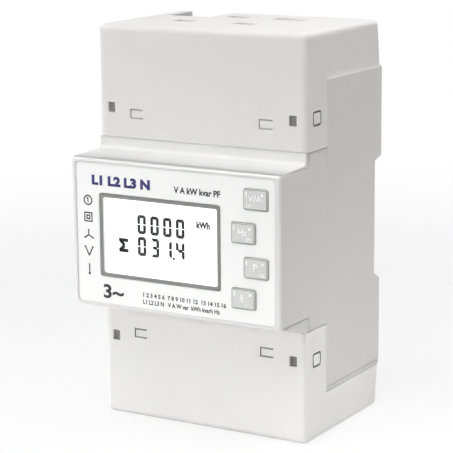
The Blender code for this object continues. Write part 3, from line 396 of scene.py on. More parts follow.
@dataclass(frozen=True)
class ClearWindow(Finish):
    """Thin clear cover that only adds a soft reflection."""

    gloss: float = 0.24           # share of the reflection at a grazing view
    rim: float = 0.2
    haze_size: float = 3.0 * MM
    haze: tuple[float, float] = (0.06, 0.12)

    def shader(self, graph: NodeGraph) -> Socket:
        """Make the window's shader.

        Args:
            graph: graph that its nodes go into.

        Returns:
            The shader.
        """
        clear = graph.add("BsdfTransparent", "BSDF", Color=WHITE)
        shine = graph.add("BsdfGlossy", "BSDF", Roughness=graph.spread(graph.noise(self.haze_size), *self.haze))
        grazing = graph.add("LayerWeight", "Fresnel", Blend=self.rim)
        return graph.either(graph.spread(grazing, 0.0, self.gloss), clear, shine)


@dataclass(frozen=True)
class PlatedSteel(Finish):
    """Zinc-plated steel with fine brushing and a passivated tint."""

    colour: Colour
    roughness: float = 0.32
    roughness_spread: float = 0.1
    tint_size: float = 4.0 * MM
    tint_shade: float = 0.85
    brush_length: float = 3.0 * MM
    brush_width: float = 0.08 * MM
    brush_depth: float = 0.004 * MM
    edge_radius: float = 0.12 * MM

    def shader(self, graph: NodeGraph) -> Socket:
        """Make the steel's shader.

        Args:
            graph: graph that its nodes go into.

        Returns:
            The shader.
        """
        colour = graph.tinted(graph.noise(self.tint_size, 3.0), self.colour, self.tint_shade)
        stretched = graph.add("Mapping", "Vector", Scale=(1.0, 1.0, self.brush_width / self.brush_length),
                              Vector=graph.position())
        brush = graph.noise(self.brush_width, 2.0, stretched)
        return graph.principled(colour, graph.around(brush, self.roughness, self.roughness_spread), Metallic=1.0,
                                Normal=graph.bump(brush, self.brush_depth, 1.0, graph.edge(self.edge_radius)))


@dataclass(frozen=True)
class CircuitBoard(Finish):
    """Solder-masked board with traces under the mask."""

    mask: Colour
    trace: Colour
    pitch: float = 1.3 * MM
    run: float = 6.0              # length of a trace, and width of its edge, in pitches
    edge: float = 0.16
    mask_shade: float = 0.85
    sheen_size: float = 2.0 * MM
    sheen: tuple[float, float] = (0.28, 0.4)
    relief: float = 0.03 * MM
    relief_share: float = 0.6

    def shader(self, graph: NodeGraph) -> Socket:
        """Make the board's shader.

        Args:
            graph: graph that its nodes go into.

        Returns:
            The shader.
        """
        upright = graph.add("Mapping", "Vector", Rotation=(QUARTER, 0.0, 0.0), Vector=graph.position())
        traces = graph.add("TexBrick", "Color", Scale=1.0, Brick_Width=self.pitch * self.run, Row_Height=self.pitch,
                           Mortar_Size=self.pitch * self.edge, Color1=self.mask,
                           Color2=scaled(self.mask, self.mask_shade), Mortar=self.trace, Vector=upright)
        return graph.principled(traces, graph.spread(graph.noise(self.sheen_size), *self.sheen),
                                Normal=graph.bump(traces.node.outputs["Fac"], self.relief, self.relief_share))


class Tone(Enum):
    """Colours of the plastics, inks and metals."""

    HOUSING = rgb(212, 211, 208)
    # The covers are one plastic in two tones: the lower cover is painted paler than the upper one, standing in for
    # light from the floor.
    TOP_COVER = rgb(222, 221, 219)
    BOTTOM_COVER = rgb(231, 230, 228)
    LABEL = rgb(240, 240, 239)
    LUG = rgb(138, 134, 130)
    # pale tone of the upper rim beads: a painted highlight on the slope under the covers' edges
    RIM_BEAD_HIGHLIGHT = rgb(248, 247, 245)
    FRAME = rgb(224, 223, 221)
    # grey of the entry seals: painted shade of the insides of the wire entries
    ENTRY = rgb(206, 204, 206)
    # paler tone of the upper web's front: painted light, as bounced from the panel's top face
    WEB_PAINTED_LIGHT = rgb(231, 230, 228)
    BEAD = rgb(226, 226, 226)
    BEZEL = rgb(128, 128, 126)
    KEY = rgb(205, 205, 204)
    KEY_EDGE = rgb(142, 142, 142)
    KEY_SIDE = rgb(222, 222, 221)
    KEY_INK = rgb(240, 240, 240)
    CLIP = rgb(186, 186, 183)
    BLOCK = rgb(236, 235, 232)
    BLACK = rgb(28, 28, 28)
    DISPLAY = rgb(252, 252, 252)
    SEGMENT = rgb(5, 5, 5)
    BLUE_INK = rgb(38, 34, 104)
    DARK_INK = rgb(36, 36, 40)
    GREY_INK = rgb(44, 44, 48)
    STEEL = rgb(196, 196, 194)
    MASK = rgb(28, 92, 52)
    TRACE = rgb(52, 128, 78)
    WINDING = rgb(206, 170, 62)
    FILM_CAPACITOR = rgb(186, 140, 60)
    SLEEVE = rgb(28, 38, 66)
    DIPPED = rgb(46, 88, 148)


@dataclass(frozen=True)
class Softbox:
    """Square softbox, with an optional honeycomb grid that narrows its beam."""

    name: str
    place: tuple[float, float, float]
    target: tuple[float, float, float]
    size: float
    power: float
    spread: float = 180.0

    def build(self) -> None:
        """Place the lamp and aim it."""
        lamp = bpy.data.lights.new(self.name, "AREA")
        lamp.shape = "SQUARE"
        lamp.size = self.size
        lamp.energy = self.power
        lamp.spread = math.radians(self.spread)
        holder = bpy.data.objects.new(self.name, lamp)
        holder.location = self.place
        aim = Vector(self.target) - Vector(self.place)
        holder.rotation_euler = aim.to_track_quat("-Z", "Y").to_euler()
        holder.visible_camera = False
        bpy.context.scene.collection.objects.link(holder)


@dataclass
class Studio:
    """Floor, world and lamps."""

    floor_z: float = -61.25 * MM
    floor_size: float = 6.0
    floor_colour: Colour = (0.8, 0.8, 0.8)
    floor_cloud: float = 0.4
    floor_shade: float = 0.99
    shadow_share: float = 0.24    # how much of the floor's own shade the camera sees near the object
    shadow_near: float = 0.12     # distance up to which it sees all of that
    shadow_far: float = 0.45      # distance from which the floor is plain white
    ambient: float = 0.27
    softboxes: tuple[Softbox, ...] = (
        Softbox("top_softbox", (0.0, -0.7, 1.1), (0.0, -0.03, 0.0), 0.9, 7.15),
        Softbox("overhead_fill", (0.0, 0.05, 1.2), (0.0, -0.03, 0.0), 0.5, 0.8),
        Softbox("rear_softbox", (0.1, 0.9, 0.8), (0.0, -0.03, 0.0), 0.9, 2.6),
        Softbox("left_fill", (-0.8, -0.7, 0.12), (0.0, -0.04, -0.14), 0.3, 0.27, 30.0),
        Softbox("floor_fill_front", (-0.12, -0.22, 0.45), (-0.08, -0.16, -0.06), 0.2, 0.07, 50.0),
        Softbox("floor_fill_right", (0.25, -0.05, 0.45), (0.2, -0.03, -0.06), 0.2, 0.25, 60.0),
        Softbox("right_fill", (0.3, -0.05, -0.05), (0.036, -0.02, -0.052), 0.06, 0.0026, 24.0),
    )

    def seen(self, graph: NodeGraph) -> Socket:
        """Factor that is 1 for camera, glossy and transmission rays.

        Args:
            graph: graph that the nodes go into.

        Returns:
            The factor.
        """
        total = graph.add("LightPath", "Is Camera Ray")
        rays = total.node.outputs
        for name in ("Is Glossy Ray", "Is Transmission Ray"):
            total = graph.maths("MAXIMUM", total, rays[name])
        return total

    def build_world(self) -> None:
        """Soft surroundings that the camera sees as white."""
        world = bpy.data.worlds.new("surroundings")
        bpy.context.scene.world = world
        world.use_nodes = True
        graph = NodeGraph(world.node_tree)
        soft, white = (graph.add("Background", "Background", Color=WHITE, Strength=strength)
                       for strength in (self.ambient, 1.0))
        graph.surface(graph.either(self.seen(graph), soft, white), "OutputWorld")

    def floor_shader(self, graph: NodeGraph) -> Socket:
        """Matt near the object, and plain white further off.

        Args:
            graph: graph that the nodes go into.

        Returns:
            The shader.
        """
        colour = graph.tinted(graph.noise(self.floor_cloud), self.floor_colour, self.floor_shade)
        matt = graph.add("BsdfDiffuse", "BSDF", Color=colour)
        white = graph.add("Emission", "Emission", Color=WHITE)
        reach = graph.add("VectorMath", "Value", operation="LENGTH", in_0=graph.position())
        fade = graph.add("MapRange", "Result", interpolation_type="SMOOTHSTEP", Value=reach,
                         From_Min=self.shadow_near, From_Max=self.shadow_far, To_Min=1.0 - self.shadow_share)
        return graph.either(graph.maths("MULTIPLY", self.seen(graph), fade), matt, white)

    def build_floor(self) -> None:
        """Plain pale floor that the object stands on."""
        half = self.floor_size / 2
        mesh = bpy.data.meshes.new("floor")
        mesh.from_pydata([(-half, -half, 0.0), (half, -half, 0.0), (half, half, 0.0), (-half, half, 0.0)], [],
                         [(0, 1, 2, 3)])
        mesh.materials.append(new_material("floor", self.floor_shader))
        floor = bpy.data.objects.new("floor", mesh)
        floor.location.z = self.floor_z
        bpy.context.scene.collection.objects.link(floor)

    def build(self) -> None:
        """Make the floor, the world and the lamps."""
        self.build_world()
        self.build_floor()
        for softbox in self.softboxes:
            softbox.build()
        bpy.context.scene.view_settings.view_transform = "Standard"


@dataclass
class ProductCamera:
    """Camera at the photograph's angle, with a long lens."""

    yaw: float = math.radians(30.70)
    pitch: float = math.radians(11.95)
    roll: float = math.radians(-0.53)
    lens: float = 145.1
    sensor: float = 36.0
    across: float = -15.60 * MM
    upward: float = -4.63 * MM
    distance: float = 535.0 * MM
    clip: tuple[float, float] = (0.01, 50.0)

    def build(self) -> None:
        """Place the camera by its turn, tilt and distance from the panel's middle."""
        sin_yaw, cos_yaw = math.sin(self.yaw), math.cos(self.yaw)
        sin_pitch, cos_pitch = math.sin(self.pitch), math.cos(self.pitch)
        back = Vector((sin_yaw * cos_pitch, -cos_yaw * cos_pitch, sin_pitch))
        right = Vector((cos_yaw, sin_yaw, 0.0))
        up = back.cross(right)
        rolled_right = math.cos(self.roll) * right + math.sin(self.roll) * up
        rolled_up = math.cos(self.roll) * up - math.sin(self.roll) * right
        panel_middle = Vector((0.0, FRONT_Y, 0.0))
        place = panel_middle - self.across * rolled_right - self.upward * rolled_up + self.distance * back
        lens = bpy.data.cameras.new("camera")
        lens.lens = self.lens
        lens.sensor_width = self.sensor
        lens.clip_start, lens.clip_end = self.clip
        camera = bpy.data.objects.new("camera", lens)
        turned = Matrix((rolled_right, rolled_up, back)).transposed().to_4x4()
        camera.matrix_world = Matrix.Translation(place) @ turned
        bpy.context.scene.collection.objects.link(camera)
        bpy.context.scene.camera = camera


def arc(hub: Point, radius: float, first: float, last: float, steps: int) -> list[Point]:
    """Points of an arc.

    Args:
        hub: its middle.
        radius: its radius.
        first: turn at which it starts, in radians.
        last: turn at which it ends.
        steps: how many straight pieces it has.

    Returns:
        The points, with both ends.
    """
    turns = [first + (last - first) * step / steps for step in range(steps + 1)]
    return [(hub[0] + radius * math.cos(a), hub[1] + radius * math.sin(a)) for a in turns]


def circle(centre: Point, radius: float, sides: int) -> list[Point]:
    """Points of a circle."""
    return arc(centre, radius, 0.0, 4 * QUARTER, sides)[:-1]


def rectangle(centre: Point, width: float, height: float) -> list[Point]:
    """Corners of a rectangle."""
    (x, z), w, h = centre, width / 2, height / 2
    return [(x - w, z - h), (x + w, z - h), (x + w, z + h), (x - w, z + h)]


def rounded(centre: Point, half_x: float, half_z: float, radius: float, steps: int = 5) -> list[Point]:
    """Outline of a rectangle with round corners.

    Args:
        centre: its middle.
        half_x: half its width.
        half_z: half its height.
        radius: corner radius.
        steps: straight pieces in each corner.

    Returns:
        The outline.
    """
    points = []
    for quarter, (side, end) in enumerate(((1, 1), (-1, 1), (-1, -1), (1, -1))):
        hub = (centre[0] + side * (half_x - radius), centre[1] + end * (half_z - radius))
        points += arc(hub, radius, quarter * QUARTER, (quarter + 1) * QUARTER, steps)
    return points


def flipped(outline: Outline, side: int, end: int = 1) -> list[Point]:
    """Outline with its two coordinates times 1 or -1."""
    return [(side * x, end * z) for x, z in outline]


def add_prism(mesh: bmesh.types.BMesh, outline: Outline, low: float, high: float, axis: str = "Y") -> None:
    """Extrude a closed outline between two planes.

    Args:
        mesh: mesh that it goes into.
        outline: its points, as (y, z) for axis "X", (x, z) for "Y" and (x, y) for "Z".
        low: first plane.
        high: second plane.
        axis: "X", "Y" or "Z".
    """
    near, far = ([mesh.verts.new({"X": (along, a, b), "Y": (a, along, b), "Z": (a, b, along)}[axis])
                  for a, b in outline] for along in (low, high))
    mesh.faces.new(near)
    mesh.faces.new(far[::-1])
    for i in range(len(outline)):
        j = (i + 1) % len(outline)
        mesh.faces.new((near[i], far[i], far[j], near[j]))


def add_piece(name: str, mesh: bmesh.types.BMesh, material: Material,
              body: str = METER) -> None:
    """Turn a mesh into a piece that rides on a body.

    Args:
        name: name of the piece.
        mesh: its shape, which is freed.
        material: its material.
        body: body that it rides on.
    """
    bmesh.ops.recalc_face_normals(mesh, faces=mesh.faces)
    data = bpy.data.meshes.new(name)
    mesh.to_mesh(data)
    mesh.free()
    data.materials.append(material)
    piece = bpy.data.objects.new(name, data)
    bpy.context.scene.collection.objects.link(piece)
    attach(piece, body)
    LOG.info("piece %s on %s", name, body)


def extruded(name: str, outlines: Iterable[Outline], low: float, high: float, axis: str, material: Material,
             body: str = METER) -> None:
    """Extrude outlines between two planes into one piece.

    Args:
        name: name of the piece.
        outlines: closed outlines, as add_prism takes them.
        low: first plane.
        high: second plane.
        axis: "X", "Y" or "Z".
        material: its material.
        body: body that it rides on.
    """
    mesh = bmesh.new()
    for outline in outlines:
        add_prism(mesh, outline, low, high, axis)
    add_piece(name, mesh, material, body)


def coat(nodes: Nodes, words: Sequence[str], finish: Finish) -> None:
    """Put one finish on some CAD nodes.

    Args:
        nodes: the CAD nodes by name.
        words: names of the nodes, or what their names have in common.
        finish: their finish.
    """
    material = finish.build()
    for name, node in nodes.items():
        if any(word in name for word in words):
            for slot in node.material_slots:
                slot.material = material
            LOG.info("dressed %s in %s", name, material.name)


class FlatShape:
    """Flat shapes that stand on a front face, gathered into one mesh."""

    def __init__(self, name: str, face_y: float, thickness: float = PRINT_THICKNESS) -> None:
        """Start an empty piece.

        Args:
            name: name of the piece.
            face_y: plane that carries it.
            thickness: how far it stands proud.
        """
        self.name = name
        self.near = face_y - thickness
        self.far = face_y + PRINT_SUNK
        self.mesh = bmesh.new()

    def polygon(self, outline: Outline) -> None:
        """Add a filled simple outline."""
        add_prism(self.mesh, outline, self.near, self.far)

    def disc(self, centre: Point, radius: float, sides: int = 20) -> None:
        """Add a filled circle."""
        self.polygon(circle(centre, radius, sides))

    def ring(self, outer: Outline, inner: Outline) -> None:
        """Add a closed band between two outlines with as many points each.

        Args:
            outer: outer outline.
            inner: inner outline.
        """
        rows = [[self.mesh.verts.new((x, y, z)) for x, z in line]
                for line, y in ((outer, self.near), (inner, self.near), (inner, self.far), (outer, self.far))]
        for i in range(len(outer)):
            j = (i + 1) % len(outer)
            for a, b in ((0, 1), (1, 2), (2, 3), (3, 0)):
                self.mesh.faces.new((rows[a][i], rows[a][j], rows[b][j], rows[b][i]))

    def stroke(self, start: Point, end: Point, width: float) -> None:
        """Add a straight line.

        Args:
            start: first end.
            end: second end.
            width: width of the line.
        """
        a, b = Vector(start), Vector(end)
        side = Vector((a.y - b.y, b.x - a.x)).normalized() * (width / 2)
        self.polygon([tuple(a + side), tuple(b + side), tuple(b - side), tuple(a - side)])

    def finish(self, material: Material, slot: str, body: str = METER) -> None:
        """Turn the shapes into a piece."""
        add_piece(self.name, self.mesh, material, body)


@dataclass(frozen=True)
class Words:
    """One line of print."""

    text: str
    left: float
    base: float
    height: float
    width: float
    weight: float


def lettering(name: str, lines: Iterable[Words], face_y: float, material: Material,
              body: str = METER) -> None:
    """Print lines of words as one thin piece.

    Args:
        name: name of the piece.
        lines: what is printed, and where.
        face_y: plane that carries the print.
        material: ink.
        body: body that it rides on.
    """
    gathered = bmesh.new()
    for line in lines:
        curve = bpy.data.curves.new(name, "FONT")
        curve.body = line.text
        curve.size = 1.0
        curve.offset = line.weight
        curve.resolution_u = LETTER_STEPS
        source = bpy.data.objects.new(name + "_line", curve)
        flat = bpy.data.meshes.new_from_object(source)
        xs, ys = zip(*((vert.co.x, vert.co.y) for vert in flat.vertices))
        across = line.width / (max(xs) - min(xs))
        upward = line.height / (max(ys) - min(ys))
        for vert in flat.vertices:
            vert.co = (line.left + (vert.co.x - min(xs)) * across, face_y - PRINT_THICKNESS,
                       line.base + (vert.co.y - min(ys)) * upward)
        gathered.from_mesh(flat)
        bpy.data.meshes.remove(flat)
        bpy.data.objects.remove(source)
        bpy.data.curves.remove(curve)
    bmesh.ops.remove_doubles(gathered, verts=gathered.verts, dist=PRINT_WELD)
    grown = bmesh.ops.extrude_face_region(gathered, geom=list(gathered.faces))
    moved = [v for v in grown["geom"] if isinstance(v, bmesh.types.BMVert)]
    bmesh.ops.translate(gathered, verts=moved, vec=(0.0, PRINT_THICKNESS + PRINT_SUNK, 0.0))
    add_piece(name, gathered, material, body)


@dataclass
class Enclosure:
    """Housing, covers, base and rail clip."""

    # painted highlight along the mouldings' edges
    painted_edge_highlight: float = 0.08
    translucency: float = 0.7
    frame_y: float = 59.7 * MM    # distance in front of the frame's middle from which the panel's frame is paler
    # the lower cover's paler tone is painted light from the floor
    covers: tuple[tuple[str, Tone, tuple[float, float]], ...] = (
        # the last pair is the painted shade in the front's and the sides' grooves
        ("top_terminal_cover", Tone.TOP_COVER, (0.15, 0.9)),
        ("bottom_terminal_cover", Tone.BOTTOM_COVER, (0.6, 0.9)),
    )

    def dress(self, nodes: Nodes) -> None:
        """Give the mouldings their plastics.

        Args:
            nodes: the CAD nodes by name.
        """
        soft = {"painted_edge_highlight": self.painted_edge_highlight, "translucency": self.translucency}
        coat(nodes, ("main_housing", "rear_base"),
             MouldedPlastic("housing_plastic", Tone.HOUSING.value, far_colour=Tone.FRAME.value, far_axis="Y",
                            far_limit=self.frame_y, **soft))
        for name, tone, grooves in self.covers:
            coat(nodes, (name,), MouldedPlastic(name + "_plastic", tone.value, grooves=grooves, **soft))
        coat(nodes, ("din_clip",), MouldedPlastic("clip_plastic", Tone.CLIP.value, 0.5, grain_size=0.35 * MM))


@dataclass
class Seams:
    """Lips, corner strips, webs and rim beads that close the seams beside the covers and the panel. The upper rim
    beads carry a painted highlight and the upper web painted light.
    """

    neck_x: float = 35.7 * MM
    neck_y: float = FRONT_Y + 16.5 * MM
    neck_low: float = 22.64 * MM
    neck_high: float = 26.6 * MM
    neck_corner: float = 1.8 * MM
    strip_corner: float = 0.5 * MM
    shoulder_y: float = FRONT_Y + 28.45 * MM
    lip: float = 0.24 * MM
    lip_width: float = 0.6 * MM
    lip_inset: float = 0.05 * MM
    rim_front: float = FRONT_Y + 28.55 * MM
    rim_rear: float = FRONT_Y + 63.9 * MM
    rim_x: float = 35.8 * MM
    rim_inset: float = 1.0 * MM
    rim_low: float = 46.5 * MM
    rim_high: float = 47.8 * MM
    rims: tuple[Point, Point] = ((48.04 * MM, 0.3 * MM), (48.0 * MM, 0.05 * MM))   # top and lean, upper and lower
    web_front: float = FRONT_Y + 15.85 * MM
    web_high: float = 26.84 * MM
    web_low: float = 22.63 * MM
    web_rise: float = 0.6 * MM
    web_fillet: float = 1.2 * MM
    web_starts: Point = (FRONT_Y + 0.9 * MM, FRONT_Y + 2.5 * MM)
    panel_x: float = 35.77 * MM
    panel_corner: float = 0.7 * MM
    panel_start: float = FRONT_Y + 1.2 * MM
    clear: float = 0.02 * MM
    edge_radius: float = 0.12 * MM
    translucency: float = 0.7

    def __post_init__(self) -> None:
        """Make the plastics."""
        self.plastic = MouldedPlastic("seam_plastic", Tone.HOUSING.value, edge_radius=self.edge_radius,
                                      translucency=self.translucency).build()
        # pale plastic of the upper rim beads: a painted highlight
        self.painted_rim_highlight = MouldedPlastic("rim_bead_painted_highlight", Tone.RIM_BEAD_HIGHLIGHT.value, edge_radius=self.edge_radius).build()
        # upper web: painted paler on its front as light bounced from the panel's top face, the housing's tone at
        # its sides
        self.painted_light_web = MouldedPlastic("web_front_painted_light", Tone.WEB_PAINTED_LIGHT.value, translucency=self.translucency,
                                    far_colour=Tone.HOUSING.value).build()

    def build_lips(self) -> None:
        """Flat lips on the neck's ends that close the seams to the covers' front and sides."""
        outer_x, outer_y = self.neck_x - self.lip_inset, self.neck_y + self.lip_inset
        inner_x, inner_y = outer_x - self.lip_width, outer_y + self.lip_width
        rear = self.shoulder_y - self.clear
        outline = [(-outer_x, rear), (-outer_x, outer_y), (outer_x, outer_y), (outer_x, rear),
                   (inner_x, rear), (inner_x, inner_y), (-inner_x, inner_y), (-inner_x, rear)]
        for level, end in LEVELS:
            low = end * (self.neck_high + self.clear / 2)
            extruded(f"seam_lip_{level}", [outline], low, low + end * self.lip, "Z", self.plastic)

    def build_corners(self) -> None:
        """Strips that bring the neck's rounded upright edges close to a square corner."""
        inner, outer = (arc((self.neck_x - radius, self.neck_y + radius), radius + gap, first, last, 8)
                        for radius, gap, first, last in ((self.neck_corner, self.clear, 0.0, -QUARTER),
                                                         (self.strip_corner, 0.0, -QUARTER, 0.0)))
        pair = [flipped(inner[1:-1] + outer, side) for side in (1, -1)]
        for level, end in LEVELS:
            extruded(f"neck_corners_{level}", pair, end * self.neck_low, end * self.neck_high, "Z", self.plastic)

    def build_rims(self) -> None:
        """Beads on the sloping rims of the housing's ends, below the edges of the covers' sides. The upper ones are
        pale: a painted highlight.
        """
        edge, inner = self.rim_x - self.clear, self.rim_x - self.rim_inset
        for (level, end), (top, lean), material in zip(LEVELS, self.rims, (self.painted_rim_highlight, self.plastic)):
            outline = [(edge, self.rim_low + 2 * self.clear), (edge - lean, top), (inner, top),
                       (inner, self.rim_high + 2 * self.clear)]
            for across, side in SIDES:
                extruded(f"rim_bead_{level}_{across}", [flipped(outline, side, end)], self.rim_front, self.rim_rear,
                         "Y", material)

    def build_webs(self) -> None:
        """Webs that run from the neck's ends down, or up, onto the panel's top face and underside. The upper web's
        front is painted paler, as light bounced from the panel's top face.
        """
        start, under_start = self.web_starts
        rear = self.neck_y - self.clear
        turn = math.atan2(self.web_rise, self.web_front - start)
        reach = self.web_fillet * math.tan((QUARTER - turn) / 2)
        hub = (self.web_front - self.web_fillet, self.web_low + self.web_rise + reach)
        top = [(start, self.web_low), *arc(hub, self.web_fillet, turn - QUARTER, 0.0, 6),
               (self.web_front, self.web_high), (rear, self.web_high), (rear, self.web_low)]
        under = [(under_start, -self.web_low), (self.web_front, -self.web_high), (rear, -self.web_high),
                 (rear, -self.web_low)]
        for name, outline, half, material in (("upper", top, self.neck_x - self.clear, self.painted_light_web),
                                              ("lower", under, self.neck_x + 2 * self.clear, self.plastic)):
            extruded(f"neck_web_{name}", [outline], -half, half, "X", material)

    def build_panel_corners(self) -> None:
        """Strips along the rounded lower edges of the panel's sides."""
        radius = self.panel_corner + self.clear
        hub = (self.panel_x - self.panel_corner, self.web_low - self.panel_corner)
        edge = (self.panel_x - self.clear, self.web_low)
        first = math.acos((edge[0] - hub[0]) / radius)
        last = math.asin(min(1.0, (edge[1] - hub[1]) / radius))
        outline = arc(hub, radius, first, last, 6) + [edge]
        extruded("panel_corners_lower", [flipped(outline, side, -1) for side in (-1, 1)], self.panel_start,
                 self.neck_y - self.clear, "Y", self.plastic)

    def build(self) -> None:
        """Make all strips."""
        self.build_panel_corners()
        self.build_webs()
        self.build_lips()
        self.build_corners()
        self.build_rims()


@dataclass
class EntrySeals:
    """Soft slit seals set a little into the covers' wire entries, and the walls around their notches. The seals'
    grey is painted shade, standing in for the shade inside the entries.
    """

    entries: tuple[tuple[float, float, float], ...] = (   # middle in X and Y, and width
        (-15.912 * MM, FRONT_Y + 33.994 * MM, 7.0 * MM),
        (5.688 * MM, FRONT_Y + 33.994 * MM, 7.0 * MM),
        (-6.984 * MM, FRONT_Y + 51.487 * MM, 7.0 * MM),
        (11.016 * MM, FRONT_Y + 51.487 * MM, 11.0 * MM),
    )
    length: float = 6.0 * MM
    outer: float = 60.65 * MM
    inner: float = 60.3 * MM
    clear: float = 0.02 * MM
    slit: float = 0.12 * MM
    notch_left: float = -30.4 * MM
    notch_right: float = -14.99 * MM
    notch_front: float = FRONT_Y + 46.57 * MM
    notch_rear: float = FRONT_Y + 61.2 * MM
    notch_foot: float = 55.3 * MM
    notch_top: float = 59.63 * MM
    wall: float = 0.8 * MM

    def build(self) -> None:
        """Make one piece of flaps and one of walls for each cover."""
        # grey seal sheets: painted shade inside the wire entries
        rubber = MouldedPlastic("entry_seal_painted_shade", Tone.ENTRY.value, 0.6, edge_radius=0.1 * MM).build()
        flaps = []
        for x, y, width in self.entries:
            for _, side in SIDES:
                near, far = x + side * self.slit / 2, x + side * (width / 2 - self.clear)
                low, high = y - self.length / 2 + self.clear, y + self.length / 2 - self.clear
                flaps.append([(near, low), (far, low), (far, high), (near, high)])
        left, right, front, rear = self.notch_left, self.notch_right, self.notch_front, self.notch_rear
        walls = [(left - self.wall, rear), (left - self.wall, front - self.wall),
                 (right + self.wall, front - self.wall), (right + self.wall, rear),
                 (right, rear), (right, front), (left, front), (left, rear)]
        covers = (("top_cover", Tone.TOP_COVER), ("bottom_cover", Tone.BOTTOM_COVER))
        for (level, end), (body, tone) in zip(LEVELS, covers):
            lining = MouldedPlastic(f"notch_plastic_{level}", tone.value).build()
            extruded(f"entry_seals_{level}", flaps, end * self.inner, end * self.outer, "Z", rubber, body)
            extruded(f"notch_walls_{level}", [walls], end * self.notch_foot, end * self.notch_top, "Z", lining,
                     body)


@dataclass
class SealLugs:
    """Grey lugs on the ears' fronts that stand in the covers' sealing windows."""

    middle_x: float = 31.4 * MM
    middle_z: float = 35.9 * MM
    post_width: float = 2.1 * MM
    post_height: float = 2.7 * MM
    post_front: float = FRONT_Y + 16.35 * MM
    plate_front: float = FRONT_Y + 17.6 * MM
    plate_rear: float = FRONT_Y + 18.28 * MM
    plate_outer: float = 33.8 * MM
    plate_height: float = 3.9 * MM
    pad: float = 0.62 * MM
    pad_height: float = 0.12 * MM
    columns: int = 2
    rows: int = 3

    def build_lug(self, name: str, side: int, end: int, material: Material) -> None:
        """Make one lug: a plate, a post on it, and small pads on the post's face.

        Args:
            name: name of the piece.
            side: 1 at the right, -1 at the left.
            end: 1 for the upper cover, -1 for the lower one.
            material: its material.
        """
        lug = bmesh.new()
        x, z = side * self.middle_x, end * self.middle_z
        inner = self.middle_x - self.post_width / 2
        plate = rectangle((side * (inner + self.plate_outer) / 2, z), self.plate_outer - inner, self.plate_height)
        add_prism(lug, plate, self.plate_front, self.plate_rear)
        add_prism(lug, rectangle((x, z), self.post_width, self.post_height), self.post_front, self.plate_front)
        for column in range(self.columns):
            for row in range(self.rows):
                place = (x + self.post_width * ((column + 0.5) / self.columns - 0.5),
                         z + self.post_height * ((row + 0.5) / self.rows - 0.5))
                add_prism(lug, rectangle(place, self.pad, self.pad), self.post_front - self.pad_height,
                          self.post_front)
        add_piece(name, lug, material)

    def build(self) -> None:
        """Make the four lugs."""
        plastic = MouldedPlastic("lug_plastic", Tone.LUG.value, 0.6, grain_size=0.3 * MM, mottle=0.1,
                                 mottle_size=0.8 * MM, edge_radius=0.08 * MM).build()
        for across, side in SIDES:
            for level, end in LEVELS:
                self.build_lug(f"seal_lug_{level}_{across}", side, end, plastic)


